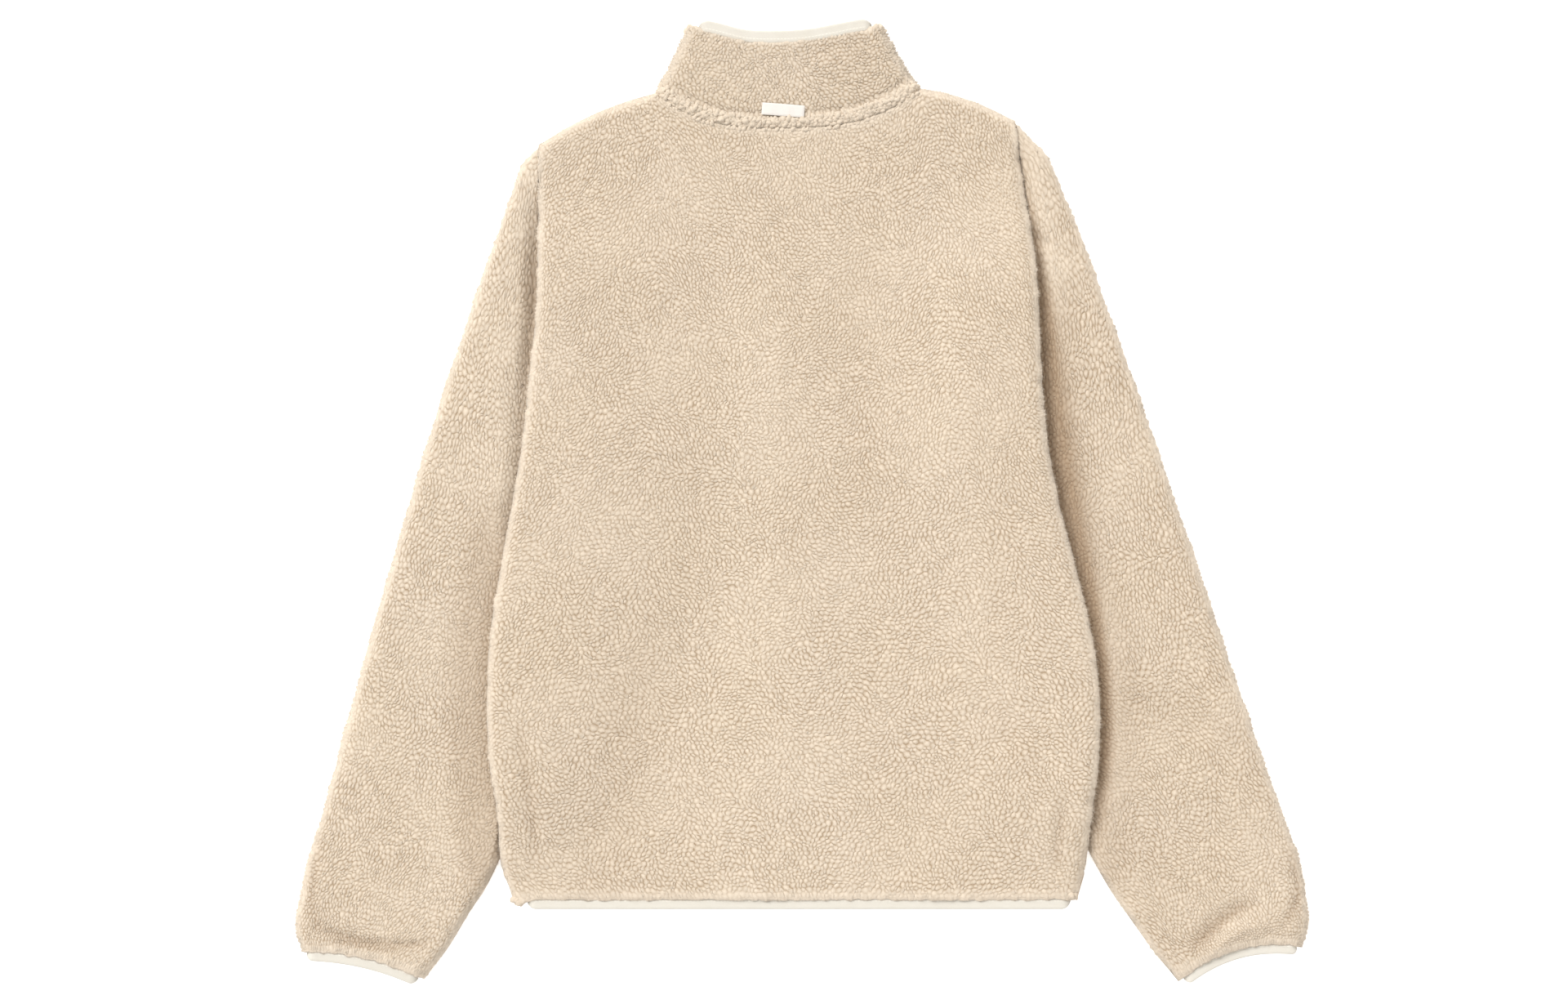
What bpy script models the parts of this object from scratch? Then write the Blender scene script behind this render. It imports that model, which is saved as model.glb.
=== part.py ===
"""A sherpa fleece jacket with a stand collar and a full front zip, laid flat on its front.

It is seen from above on its back, collar towards +Y, with the underside of its fronts on Z = 0. The
sleeves are drawn down and tucked under the sides of the body. Each piece that a maker would cut is one
closed wall of cloth: an outer face and an inner face that follow the same grid, joined at their edges.
Sizes and tables are in millimetres, and every mesh is made in metres. "Left" is the wearer's left, at -X.
"""

from math import cos, hypot, pi, radians, sin, sqrt

import bmesh
import bpy
from mathutils import Vector

for old in list(bpy.data.objects):
    bpy.data.objects.remove(old)
jacket = bpy.data.collections.new("fleece_jacket")
cutters = bpy.data.collections.new("cutters")
for group in (jacket, cutters):
    bpy.context.scene.collection.children.link(group)

MM = 0.001
LEFT, RIGHT = -1, 1

# --- Driving sizes -----------------------------------------------------------------------------------

CLOTH = 7.0  # one layer of fleece with its pile
HOLLOW = 2.0  # room between the two layers of anything laid flat
THICK = 2 * CLOTH + HOLLOW  # both layers
MID = THICK / 2  # height of the side seams, and the radius of a folded side
SEAM = 0.3  # gap between two pieces at a seam
PRESSED = 11.0  # thickness of a sleeve where the body lies on it
CLEAR = 0.8  # room between that sleeve and the body
STEP = (0, 45, 90)  # degrees round a folded side, from its seam to the flat

HEM = -316.0  # height of the cloth's lower edge
YOKE = 230.0  # above this height the columns of the body fan out to the shoulders
ZIP = -8.0  # the line of the front zip
OPEN = 6.0  # from that line to the edge of the cloth on either side

# How far out the body reaches on each side, from the hem up to the top of the armhole.
BODY_SIDE = {
    LEFT: (
        # up,  across
        (-316, -225),
        (-290, -235),
        (-250, -242),
        (-200, -249),
        (-150, -250),
        (-100, -247),
        (-50, -239),
        (0, -230),
        (50, -222),
        (105, -216),
        (155, -211),
        (205, -210),
        (283, -210),
    ),
    RIGHT: (
        # up,  across
        (-316, 213),
        (-290, 224),
        (-250, 232),
        (-200, 237),
        (-150, 236),
        (-100, 229),
        (-50, 217),
        (0, 204),
        (50, 195),
        (105, 190),
        (155, 188),
        (205, 184),
        (250, 177),
        (302, 170),
    ),
}
SHOULDER_TIP = {LEFT: (-210, 283), RIGHT: (170, 302)}
NECK = {LEFT: (-116, 326), RIGHT: (95, 329)}
SHOULDER_BOW = {LEFT: 6.4, RIGHT: 3.0}  # how far each shoulder line rises over its chord
BACK_DIP, BACK_ROUND = 30, 2.9  # depth of the back neckline, and how square it is
FRONT_DIP, FRONT_ROUND = 66, 2.3

# Upper edge of the collar's cloth, at its back and, lower and out of sight, at its front.
COLLAR_BACK_TOP = (
    # across, up
    (-91, 378),
    (-65, 373),
    (-45, 368.5),
    (-20, 367.5),
    (3, 369),
    (26, 373),
    (45, 377),
    (64, 378),
)
COLLAR_FRONT_DROP = 34
# Columns along the neck, as shares between the two folds. The body, the collar and its binding all use
# them, so that their seams match. One lies over the zip, and only the back layers have it.
NECK_SHARES = (0.04, 0.2, 0.36, 0.52, 0.68, 0.84, 0.96)
OVER_ZIP = 3

# Each sleeve is lofted through these stations, from below its armhole down to the cuff.
SLEEVE = {
    LEFT: (
        # outer fold,    underarm seam
        ((-232, 244), (-142, 24)),
        ((-249, 197), (-146, 12)),
        ((-268, 140), (-151, -5)),
        ((-290, 75), (-158, -28)),
        ((-310, 10), (-168, -60)),
        ((-329, -55), (-181, -102)),
        ((-347, -120), (-197, -152)),
        ((-365, -185), (-214, -207)),
        ((-383, -250), (-233, -264)),
        ((-395, -285), (-250, -302)),
        ((-402, -312), (-267, -328)),
        ((-403, -338), (-284, -354)),
        ((-394, -357), (-302, -377)),
    ),
    RIGHT: (
        # outer fold,   underarm seam
        ((204, 254), (120, 30)),
        ((224, 206), (124, 16)),
        ((249, 140), (131, -4)),
        ((272, 75), (141, -30)),
        ((294, 10), (153, -64)),
        ((317, -55), (168, -107)),
        ((340, -120), (186, -158)),
        ((362, -187), (204, -211)),
        ((383, -250), (223, -265)),
        ((396, -284), (243, -304)),
        ((402, -311), (262, -332)),
        ((403, -336), (283, -361)),
        ((394, -354), (302, -378)),
    ),
}
# Soft folds that raise the upper layer of cloth, each a ridge between two places.
FOLDS = (
    # start,      end,          half width, height
    ((-50, 215), (-42, -60), 46, 2.6),
    ((-42, -60), (-48, -320), 96, 2.6),
    ((112, 215), (142, 120), 40, 2.2),
    ((142, 120), (96, 20), 44, 2.0),
    ((120, -120), (105, -300), 52, 2.0),
    ((-262, 100), (-226, -10), 26, 2.2),
    ((-330, -60), (-318, -330), 34, 2.0),
    ((258, 60), (330, -110), 26, 2.0),
    ((300, -180), (348, -250), 30, 2.0),
    ((318, -356), (398, -312), 24, 2.6),
)
ARMPIT = {LEFT: (-140, 38), RIGHT: (118, 44)}
CUFF_BOW = {LEFT: 4, RIGHT: 10}  # how far each cuff's edge curves back into the sleeve
TUCK_START = 232  # from here down the armhole turns in under the body
TUCK_CURVE = 1.3  # how slowly it turns in at first
ARMHOLE_GAP = 0.5  # from the body's side to the sleeve above that
LIFT_TOP = (262, 190)  # the body rises on its sleeves between these heights at its top,
LIFT_FOOT = (-312, -262)  # between these at its foot,
LIFT_IN = (14, 60)  # and over these distances in from a sleeve's edge
PRESS = (-15, 4)  # distances in from the body's side over which a sleeve grows thin

BAND = 6.8  # how far a knitted binding stands beyond the cloth
BAND_THICK = 3.6
BAND_FOLD = 4.6  # radius of a binding's fold, at the middle of its wall
HEM_BAND = (-217, 212)  # reach of the hem's binding
CUFF_END = 14.4  # from a cuff's corner to where its binding folds over

LABEL = (34.0, 9.6, 1.0)  # length, width, thickness
LABEL_PLACE = (-15.0, 312.6)
LABEL_TILT = -4.5

TAPE = (15.0, 0.6)  # width and thickness of each half of the zip's tape
CHAIN = (5.0, 2.0)  # width and height of the closed rows of teeth
STOP = (8.0, 8.0, 2.6)  # width, length and height of the box at the zip's foot
SLIDER = (9.0, 13.0, 1.8)  # width, length and height
ARCH = (2.0, 5.4, 2.8, 0.7)  # width, length, height and gauge of the bridge that holds the pull
PULL = (7.0, 24.0, 1.1)  # width, length, thickness
WINDOW = (3.4, 4.4)  # width and length of the opening in the pull


# --- Reading a table, and the body's lines ------------------------------------------------------------


def read(table, at):
    """The second column at a place along the first, on a smooth curve through the rows."""
    last = len(table) - 1
    at = min(max(at, table[0][0]), table[last][0])
    row = next(i for i in range(last) if at <= table[i + 1][0])

    def slope(i):
        before, after = table[max(i - 1, 0)], table[min(i + 1, last)]
        return (after[1] - before[1]) / (after[0] - before[0])

    (x0, y0), (x1, y1) = table[row], table[row + 1]
    span = x1 - x0
    t = (at - x0) / span
    return (
        y0 * (1 + 2 * t) * (1 - t) ** 2
        + y1 * t * t * (3 - 2 * t)
        + span * t * (1 - t) * (slope(row) * (1 - t) - slope(row + 1) * t)
    )


def rise(at, start, end):
    """0 at start and beyond it, 1 at end and beyond it, and a soft S between them."""
    t = min(max((at - start) / (end - start), 0), 1)
    return t * t * (3 - 2 * t)


def mix(a, b, t):
    return a + (b - a) * t


def side_x(side, y):
    return read(BODY_SIDE[side], y)


def neckline(x, dip, squareness):
    """Height of a neckline, which falls by dip between the two neck points."""
    (left, left_up), (right, right_up) = NECK[LEFT], NECK[RIGHT]
    t = min(max((x - left) / (right - left), 0), 1)
    return mix(left_up, right_up, t) - dip * (1 - abs(2 * t - 1) ** squareness)


def back_neck(x):
    return neckline(x, BACK_DIP, BACK_ROUND)


def front_neck(x):
    return neckline(x, FRONT_DIP, FRONT_ROUND)


def shoulder_y(side, x):
    (tip, tip_up), (neck, neck_up) = SHOULDER_TIP[side], NECK[side]
    t = (x - tip) / (neck - tip)
    return mix(tip_up, neck_up, t) + 4 * SHOULDER_BOW[side] * t * (1 - t)


def relief(x, y):
    """How far the nearest fold raises the upper layer of cloth."""
    most = 0
    for (x0, y0), (x1, y1), half_width, height in FOLDS:
        length = hypot(x1 - x0, y1 - y0)
        along = min(max(((x - x0) * (x1 - x0) + (y - y0) * (y1 - y0)) / length**2, 0), 1)
        away = hypot(x - mix(x0, x1, along), y - mix(y0, y1, along))
        most = max(most, height * rise(away, half_width, 0))
    return most


# --- How the sleeves lie under the body ---------------------------------------------------------------


def armhole_x(side, y):
    """The sleeve's upper edge: beside the body at the shoulder, then turned in under it."""
    pit, pit_up = ARMPIT[side]
    most = abs(side_x(side, pit_up) - pit)
    tuck = max((TUCK_START - y) / (TUCK_START - pit_up), 0) ** TUCK_CURVE
    return side_x(side, y) + side * (ARMHOLE_GAP - most * tuck)


def underarm_x(side, y):
    """How far in under the body a sleeve reaches."""
    if y >= ARMPIT[side][1]:
        return armhole_x(side, y)
    seam = [inner[::-1] for outer, inner in reversed(SLEEVE[side])]
    return read(seam + [ARMPIT[side][::-1]], y)


def lift(x, y):
    """How far the sleeve beneath raises the body, easing to the floor past the sleeve's edge."""
    along = rise(y, *LIFT_TOP) * rise(y, *LIFT_FOOT)
    across = max(1 - rise(side * (underarm_x(side, y) - x), *LIFT_IN) for side in (LEFT, RIGHT))
    return (PRESSED + CLEAR) * along * across


def sleeve_thickness(side, x, y):
    """Full where the sleeve lies free, and pressed thin where the body lies on it."""
    inside = side * (side_x(side, y) - x)
    pressed = mix(THICK, PRESSED, rise(inside, *PRESS))
    if y > SHOULDER_TIP[side][1] or y < HEM:
        return pressed
    if inside > 0:
        fold = MID - min(inside, MID)
        room = MID - sqrt(MID**2 - fold**2)
    else:
        room = MID - inside
    return min(pressed, lift(x, y) + room - CLEAR)


# --- Making a closed wall of cloth --------------------------------------------------------------------


def wall(name, grid, ring=False):
    """A closed solid from rows of (outer point, inner point) pairs. A ring's rows meet themselves."""
    mesh = bmesh.new()
    rows = [[[mesh.verts.new([c * MM for c in point]) for point in pair] for pair in row] for row in grid]
    count = len(rows[0])
    last = count if ring else count - 1
    for row, above in zip(rows, rows[1:]):
        for i in range(last):
            j = (i + 1) % count
            mesh.faces.new((row[i][0], row[j][0], above[j][0], above[i][0]))
            mesh.faces.new((row[i][1], above[i][1], above[j][1], row[j][1]))
    for row in (rows[0], rows[-1]):
        for i in range(last):
            j = (i + 1) % count
            mesh.faces.new((row[i][0], row[i][1], row[j][1], row[j][0]))
    if not ring:
        for i in (0, count - 1):
            for row, above in zip(rows, rows[1:]):
                mesh.faces.new((row[i][0], row[i][1], above[i][1], above[i][0]))
    return finish(name, mesh)


def finish(name, mesh, origin=(0, 0, 0), group=jacket):
    """Turn a built mesh into an object of its own, with its origin where it is asked for."""
    bmesh.ops.triangulate(mesh, faces=mesh.faces)
    bmesh.ops.recalc_face_normals(mesh, faces=mesh.faces)
    place = Vector(origin) * MM
    bmesh.ops.translate(mesh, verts=mesh.verts, vec=-place)
    data = bpy.data.meshes.new(name)
    mesh.to_mesh(data)
    mesh.free()
    data.shade_smooth()
    data.set_sharp_from_angle(angle=radians(50))
    item = bpy.data.objects.new(name, data)
    item.location = place
    group.objects.link(item)
    return item


def material(name, colour, roughness, metallic):
    surface = bpy.data.materials.new(name)
    surface.use_nodes = True
    shader = surface.node_tree.nodes["Principled BSDF"]
    shader.inputs["Base Color"].default_value = (*colour, 1)
    shader.inputs["Roughness"].default_value = roughness
    shader.inputs["Metallic"].default_value = metallic
    return surface


# --- The body: a back and two fronts ------------------------------------------------------------------

EDGE = [MID * (1 - cos(radians(a))) for a in STEP]  # distances from a folded side
REACHES = (28, 50, 72, 94)  # columns kept at these distances in from a side
LAST_REACH = 118  # the column that leads up to the neck's own fold
TIP_SHARE = 0.9  # how closely the folded side's columns gather at the shoulder's tip
YOKE_ROW = 0.45  # share of the way from the yoke to the top line where one more row lies
ROWS_LOW = (HEM, -301, -285, -268, -250, -215, -180, -140, -100, -60, -20)
ROWS_HIGH = (20, 60, 100, 140, 170, 190, 205, 217, YOKE)
ROWS_UP = ROWS_LOW + ROWS_HIGH


def side_columns(side):
    """From the side in: each column's reach below the yoke, and its place along the shoulder or neck."""
    tip, neck = SHOULDER_TIP[side][0], NECK[side][0]
    columns = [(reach, tip - side * reach * TIP_SHARE) for reach in EDGE]
    for reach in REACHES:
        share = (reach - EDGE[-1]) / (LAST_REACH - EDGE[-1])
        columns.append((reach, mix(tip - side * EDGE[-1], neck, share)))
    return columns + [(LAST_REACH + edge, neck - side * edge) for edge in EDGE]


def column_points(side, reach, top_x, top_y):
    """One column of the body at a fixed reach from a side, up to its point on the top line."""
    points = [(side_x(side, y) - side * reach, y) for y in ROWS_UP]
    return points + run_up(points[-1], (top_x, top_y(top_x)))


def run_up(start, top):
    """From the yoke to the top line, with rows close to it where the shoulder folds over."""
    length = hypot(top[0] - start[0], top[1] - start[1])
    shares = [YOKE_ROW] + [1 - edge / length for edge in EDGE[::-1]]
    return [(mix(start[0], top[0], t), mix(start[1], top[1], t)) for t in shares]


def top_line(neck):
    def height(x):
        if x < NECK[LEFT][0]:
            return shoulder_y(LEFT, x)
        if x > NECK[RIGHT][0]:
            return shoulder_y(RIGHT, x)
        return neck(x) - SEAM / 2

    return height


def neck_column(first, last, share, neck):
    """A column between the innermost ones of the two sides, up to its own point on the neckline."""
    below = [(mix(a[0], b[0], share), a[1]) for a, b in zip(first[: len(ROWS_UP)], last)]
    top_x = mix(first[-1][0], last[-1][0], share)
    return below + run_up(below[-1], (top_x, top_line(neck)(top_x)))


def fold_distances(x, y):
    """(distance, inward direction) of the folded edges near a point: both sides and both shoulders."""
    found = []
    for side in (LEFT, RIGHT):
        if y <= SHOULDER_TIP[side][1]:
            found.append((side * (side_x(side, y) - x), (-side, 0)))
        neck, neck_up = NECK[side]
        if side * (x - neck) >= 0:
            run = shoulder_y(side, x) - y
            slope = (shoulder_y(side, x + 1) - shoulder_y(side, x - 1)) / 2
            size = hypot(slope, 1)
            found.append((run / size, (slope / size, -1 / size)))
        else:
            away = hypot(x - neck, y - neck_up)
            found.append((away, ((x - neck) / away, (y - neck_up) / away)))
    return [(max(distance, 0), way) for distance, way in found]


def cloth_pair(x, y, layer, neck):
    """Outer and inner point of the body's wall. Layer is 1 for the back and -1 for the fronts."""
    folds = [(d, way) for d, way in fold_distances(x, y) if d < MID]
    nearest = min([d for d, way in folds] + [MID])
    turn = sqrt(MID**2 - (MID - nearest) ** 2) / MID
    raised = MID + lift(x, y)
    outer = (x, y, raised + layer * max(MID * turn, SEAM / 2))
    inner_x, inner_y = x, y
    for distance, way in folds:
        moved = CLOTH * (1 - distance / MID)
        inner_x += way[0] * moved
        inner_y += way[1] * moved
    if abs(y - (neck(x) - SEAM / 2)) < 1e-6 and NECK[LEFT][0] <= x <= NECK[RIGHT][0]:
        inner_y = neck(inner_x) - SEAM / 2
    inner = (inner_x, inner_y, raised + layer * max(HOLLOW / 2 * turn, SEAM / 2))
    return fold_up(outer, inner, nearest / MID) if layer > 0 else (outer, inner)


def fold_up(outer, inner, share):
    """Raise a pair of the upper layer by the fold there, less and less towards a folded side."""
    raised = relief(outer[0], outer[1]) * rise(share, 0, 1)
    return tuple((x, y, z + raised) for x, y, z in (outer, inner))


def body_panel(name, columns, layer, neck):
    rows = [[cloth_pair(x, y, layer, neck) for x, y in row] for row in zip(*columns)]
    return wall(name, rows)


def body_columns(side, neck):
    """The columns along one side, from the edge in."""
    return [column_points(side, reach, x, top_line(neck)) for reach, x in side_columns(side)]


def make_body():
    for name, layer, neck in (("back_panel", 1, back_neck), ("front", -1, front_neck)):
        left, right = body_columns(LEFT, neck), body_columns(RIGHT, neck)
        middle = [neck_column(left[-1], right[-1], share, neck) for share in NECK_SHARES]
        if layer > 0:
            body_panel(name, left + middle + right[::-1], layer, neck)
            continue
        edges = [zip_column(side, neck) for side in (LEFT, RIGHT)]
        body_panel("front_left", left + middle[:OVER_ZIP] + edges[:1], layer, neck)
        body_panel("front_right", edges[1:] + middle[OVER_ZIP + 1 :] + right[::-1], layer, neck)


def zip_column(side, neck):
    """The straight edge of a front beside the zip."""
    x = ZIP + side * OPEN
    below = [(x, y) for y in ROWS_UP]
    return below + run_up(below[-1], (x, top_line(neck)(x)))


# --- Flattened tubes: the sleeves, the collar and the bindings ----------------------------------------

CROSSING_STEPS = 60
NEAREST_EDGE = 40  # the gathered columns keep this far from a sleeve's outer fold
GATHER = (-18, -7, 0, 4)  # their distances from the body's edge
BINDING_SHARES = (0.25, 0.42, 0.58, 0.75)  # columns along the hem's binding
BINDING_ROWS = ((0, 1.0), (0.75, 1.0), (1.0, 0.5))  # share of a binding's width, and of its wall
COLLAR_ROWS = (0, 0.33, 0.66, 1)
BEND = (-45, 0, 45)  # degrees round a folded end


def sleeve_line(side, station):
    """A function from a share of the way across to a point, and the line's length."""
    if station == 0:
        top, pit = SHOULDER_TIP[side], ARMPIT[side]

        def armhole(share):
            y = mix(top[1] - 1, pit[1], share)
            return armhole_x(side, y), y

        return armhole, hypot(top[0] - pit[0], top[1] - pit[1])
    outer, inner = SLEEVE[side][station - 1]
    width = hypot(inner[0] - outer[0], inner[1] - outer[1])
    bow = CUFF_BOW[side] if station == len(SLEEVE[side]) else 0

    def straight(share):
        curve = bow * 4 * share * (1 - share)
        x = mix(outer[0], inner[0], share) + curve * abs(inner[1] - outer[1]) / width * -side
        return x, mix(outer[1], inner[1], share) + curve * abs(inner[0] - outer[0]) / width

    return straight, width


def crossing(side, line, width):
    """How far along a sleeve's station the body's edge lies over it."""
    for k in range(CROSSING_STEPS + 1):
        x, y = line(k / CROSSING_STEPS)
        if y > HEM and side * (side_x(side, y) - x) > 0:
            return width * k / CROSSING_STEPS
    return width


def flat_places(width, edge):
    """Where a station's columns lie between its two folds, gathered about the body's edge over it."""
    edge = min(max(edge, NEAREST_EDGE), width - CUFF_END)
    near = [edge + step for step in GATHER]
    return [CUFF_END, mix(CUFF_END, near[0], 0.5)] + near + [mix(near[-1], width - MID, 0.5)]


def sleeve_section(side, station):
    """The pairs round one station, from the underarm seam under the sleeve, and back over it."""
    line, width = sleeve_line(side, station)
    flat = flat_places(width, crossing(side, line, width))

    def half_thickness(along):
        return sleeve_thickness(side, *line(along / width)) / 2

    def pair(along, degrees, layer, from_seam):
        """The outer point lies this far along the line, or on the fold at this end of it."""
        turn = radians(degrees)
        start, into = (width, -1) if from_seam else (0, 1)
        half = half_thickness(along)
        outer_at = inner_at = along
        if degrees < 90:
            outer_at = start + into * half * (1 - cos(turn))
            inner_at = start + into * (half - HOLLOW / 2 * cos(turn))
        lip = SEAM / 2 if from_seam else 0
        outer_x, outer_y = line(outer_at / width)
        inner_x, inner_y = line(inner_at / width)
        outer = (outer_x, outer_y, half + layer * max(half * sin(turn), lip))
        inner = (inner_x, inner_y, half + layer * max(HOLLOW / 2 * sin(turn), lip))
        covered = side * (side_x(side, outer_y) - outer_x) > PRESS[0]
        return (outer, inner) if layer < 0 or degrees < 90 or covered else fold_up(outer, inner, 1)

    under = [pair(width, a, -1, True) for a in STEP[:-1]] + [pair(width - MID, 90, -1, True)]
    under += [pair(at, 90, -1, False) for at in flat[::-1]] + [pair(MID, 90, -1, False)]
    fold = [pair(0, a, -1, False) for a in STEP[-2:0:-1]]
    over = [pair(0, a, 1, False) for a in STEP[:-1]] + [pair(MID, 90, 1, False)]
    over += [pair(at, 90, 1, False) for at in flat] + [pair(width - MID, 90, 1, True)]
    return under + fold + over + [pair(width, a, 1, True) for a in STEP[-2::-1]]


def make_sleeves():
    for side, name in ((LEFT, "sleeve_left"), (RIGHT, "sleeve_right")):
        sections = [sleeve_section(side, k) for k in range(len(SLEEVE[side]) + 1)]
        wall(name, sections)


def loop_pairs(low, high, radius, thick, over, under, opening=None):
    """Pairs of (along, height) round a flattened loop that reaches from low to high.

    It runs along its under side, round the high end, back over the top and round the low end. With an
    opening, it starts and ends there on the under side. Without one, it closes on itself.
    """
    ends = (low + radius + thick / 2, high - radius - thick / 2)
    half = thick / 2

    def flat(at, layer):
        return (at, MID + layer * (radius + half)), (at, MID + layer * (radius - half))

    def bend(end, sign, degrees):
        across, up = sign * cos(radians(degrees)), sin(radians(degrees))
        return tuple((ends[end] + across * r, MID + up * r) for r in (radius + half, radius - half))

    first = [opening[1]] if opening else []
    last = [opening[0]] if opening else []
    after = [at for at in under if not opening or at > opening[1]]
    before = [at for at in under if opening and at < opening[0]]
    loop = [flat(at, -1) for at in first + after + [ends[1]]] + [bend(1, 1, a) for a in BEND]
    loop += [flat(at, 1) for at in [ends[1]] + over[::-1] + [ends[0]]]
    loop += [bend(0, -1, a) for a in BEND[::-1]]
    return loop + [flat(at, -1) for at in [ends[0]] + before + last]


SLIT = (ZIP - OPEN, ZIP + OPEN)


def neck_places(low, high):
    """The shared columns along the neck between two fold ends: over the back, and under at the front."""
    over = [mix(low, high, share) for share in NECK_SHARES]
    return over, over[:OVER_ZIP] + over[OVER_ZIP + 1 :]


def make_collar():
    """The collar's wall runs from the neck seam to its top edge, folded at both sides of the neck."""
    base_reach = (NECK[LEFT][0], NECK[RIGHT][0])
    top_reach = (COLLAR_BACK_TOP[0][0], COLLAR_BACK_TOP[-1][0])
    rings = []
    for low, high in (base_reach, top_reach):
        over, under = neck_places(low + MID, high - MID)
        rings.append(loop_pairs(low, high, MID - CLOTH / 2, CLOTH, over, under, SLIT))
    rows = []
    for t in COLLAR_ROWS:
        row = []
        for base, upper in zip(*rings):
            pair = []
            for (x0, z), (x1, _) in zip(base, upper):
                neck = back_neck if z > MID else front_neck
                y0, y1 = neck(x0) + SEAM / 2, collar_top(x1, z > MID)
                pair.append((mix(x0, x1, t), mix(y0, y1, t), z))
            row.append(tuple(pair))
        rows.append(row)
    wall("collar", rows)


def collar_top(x, back):
    """The collar's upper edge. Its front falls away between the two folds."""
    left, right = COLLAR_BACK_TOP[0], COLLAR_BACK_TOP[-1]
    if back:
        return read(COLLAR_BACK_TOP, x)
    t = min(max((x - left[0] - MID) / (right[0] - left[0] - THICK), 0), 1)
    return left[1] - COLLAR_FRONT_DROP * sin(pi * t) ** 2


def band(name, loop, place, ring=False):
    """A binding round a loop of pairs, placed by a function of (along, out, height)."""
    rows = []
    for share, slim in BINDING_ROWS:
        out = SEAM + BAND * share
        row = []
        for pair in loop:
            centre = [(a + b) / 2 for a, b in zip(*pair)]
            slimmed = [[mix(c, value, slim) for c, value in zip(centre, point)] for point in pair]
            row.append([(*place(at, out, z), z) for at, z in slimmed])
        rows.append(row)
    wall(name, rows, ring)


def make_bindings():
    reach = BAND_FOLD + BAND_THICK / 2
    spread = [mix(*HEM_BAND, share) for share in BINDING_SHARES]
    loop = loop_pairs(*HEM_BAND, BAND_FOLD, BAND_THICK, spread, spread, SLIT)
    band("hem_binding", loop, lambda at, out, z: (at, HEM - out))

    over, under = neck_places(COLLAR_BACK_TOP[0][0] + MID, COLLAR_BACK_TOP[-1][0] - MID)
    ends = (over[0] - reach, over[-1] + reach)
    loop = loop_pairs(*ends, BAND_FOLD, BAND_THICK, over[1:-1], under[1:-1], SLIT)
    band("collar_binding", loop, lambda at, out, z: (at, collar_top(at, z > MID) + out))

    for side, name in ((LEFT, "cuff_binding_left"), (RIGHT, "cuff_binding_right")):
        line, width = sleeve_line(side, len(SLEEVE[side]))

        def beyond(at, out, z):
            before, here, after = [line((at + step) / width) for step in (-1, 0, 1)]
            run = hypot(after[0] - before[0], after[1] - before[1])
            across, up = (after[0] - before[0]) / run, (after[1] - before[1]) / run
            return here[0] - side * up * out, here[1] + side * across * out

        spread = flat_places(width, width)[1:4]
        loop = loop_pairs(CUFF_END - reach, width - CUFF_END + reach, BAND_FOLD, BAND_THICK, spread, spread)
        band(name, loop, beyond, ring=True)


# --- Label and zip ------------------------------------------------------------------------------------


LABEL_COLUMNS = (-0.5, -0.17, 0.17, 0.5)
TAPE_SHORT = 1.0  # the tapes and the slider stop this far from the edges they lie near


def box(low, high):
    """A mesh of one box between two corners."""
    mesh = bmesh.new()
    bmesh.ops.create_cube(mesh, size=1)
    size = [b - a for a, b in zip(low, high)]
    bmesh.ops.scale(mesh, verts=mesh.verts, vec=[s * MM for s in size])
    bmesh.ops.translate(mesh, verts=mesh.verts, vec=[(a + b) / 2 * MM for a, b in zip(low, high)])
    return mesh


def make_label():
    """A blank woven label lying on the back of the collar, just above the neck seam."""
    length, width, thick = LABEL
    turn = radians(LABEL_TILT)
    rows = []
    for v in (-0.5, 0.5):
        row = []
        for u in LABEL_COLUMNS:
            x = LABEL_PLACE[0] + u * length * cos(turn) - v * width * sin(turn)
            y = LABEL_PLACE[1] + u * length * sin(turn) + v * width * cos(turn)
            row.append(((x, y, THICK + SEAM + thick), (x, y, THICK + SEAM)))
        rows.append(row)
    wall("neck_label", rows)


def combine(base, others, operation):
    """Join boxes to an object, or cut them from it, with a Boolean for each."""
    for k, other in enumerate(others):
        shape = finish(f"{base.name}_shape_{k}", other, group=cutters)
        shape.hide_render = True
        shape.display_type = "WIRE"
        change = base.modifiers.new(shape.name, "BOOLEAN")
        change.operation = operation
        change.object = shape


def make_zip():
    """Two tapes inside the fronts, a closed chain over them, and a slider with its pull at the top."""
    top = collar_top(ZIP, False)
    tape_low, tape_high = CLOTH + SEAM, CLOTH + SEAM + TAPE[1]
    for side, name in ((LEFT, "zip_tape_left"), (RIGHT, "zip_tape_right")):
        near, far = sorted((ZIP + side * SEAM / 2, ZIP + side * TAPE[0]))
        finish(name, box((near, HEM, tape_low), (far, top - TAPE_SHORT, tape_high)))
    half = CHAIN[0] / 2
    chain_low = CLOTH - CHAIN[1]
    chain_foot, chain_top = HEM + STOP[1] + TAPE_SHORT, top - SLIDER[1] - 2 * TAPE_SHORT
    finish("zip_chain", box((ZIP - half, chain_foot, chain_low), (ZIP + half, chain_top, CLOTH)))
    half = STOP[0] / 2
    stop_top = chain_foot - SEAM
    finish("zip_box", box((ZIP - half, stop_top - STOP[1], CLOTH - STOP[2]), (ZIP + half, stop_top, CLOTH)))
    make_slider(chain_top + SEAM)


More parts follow.
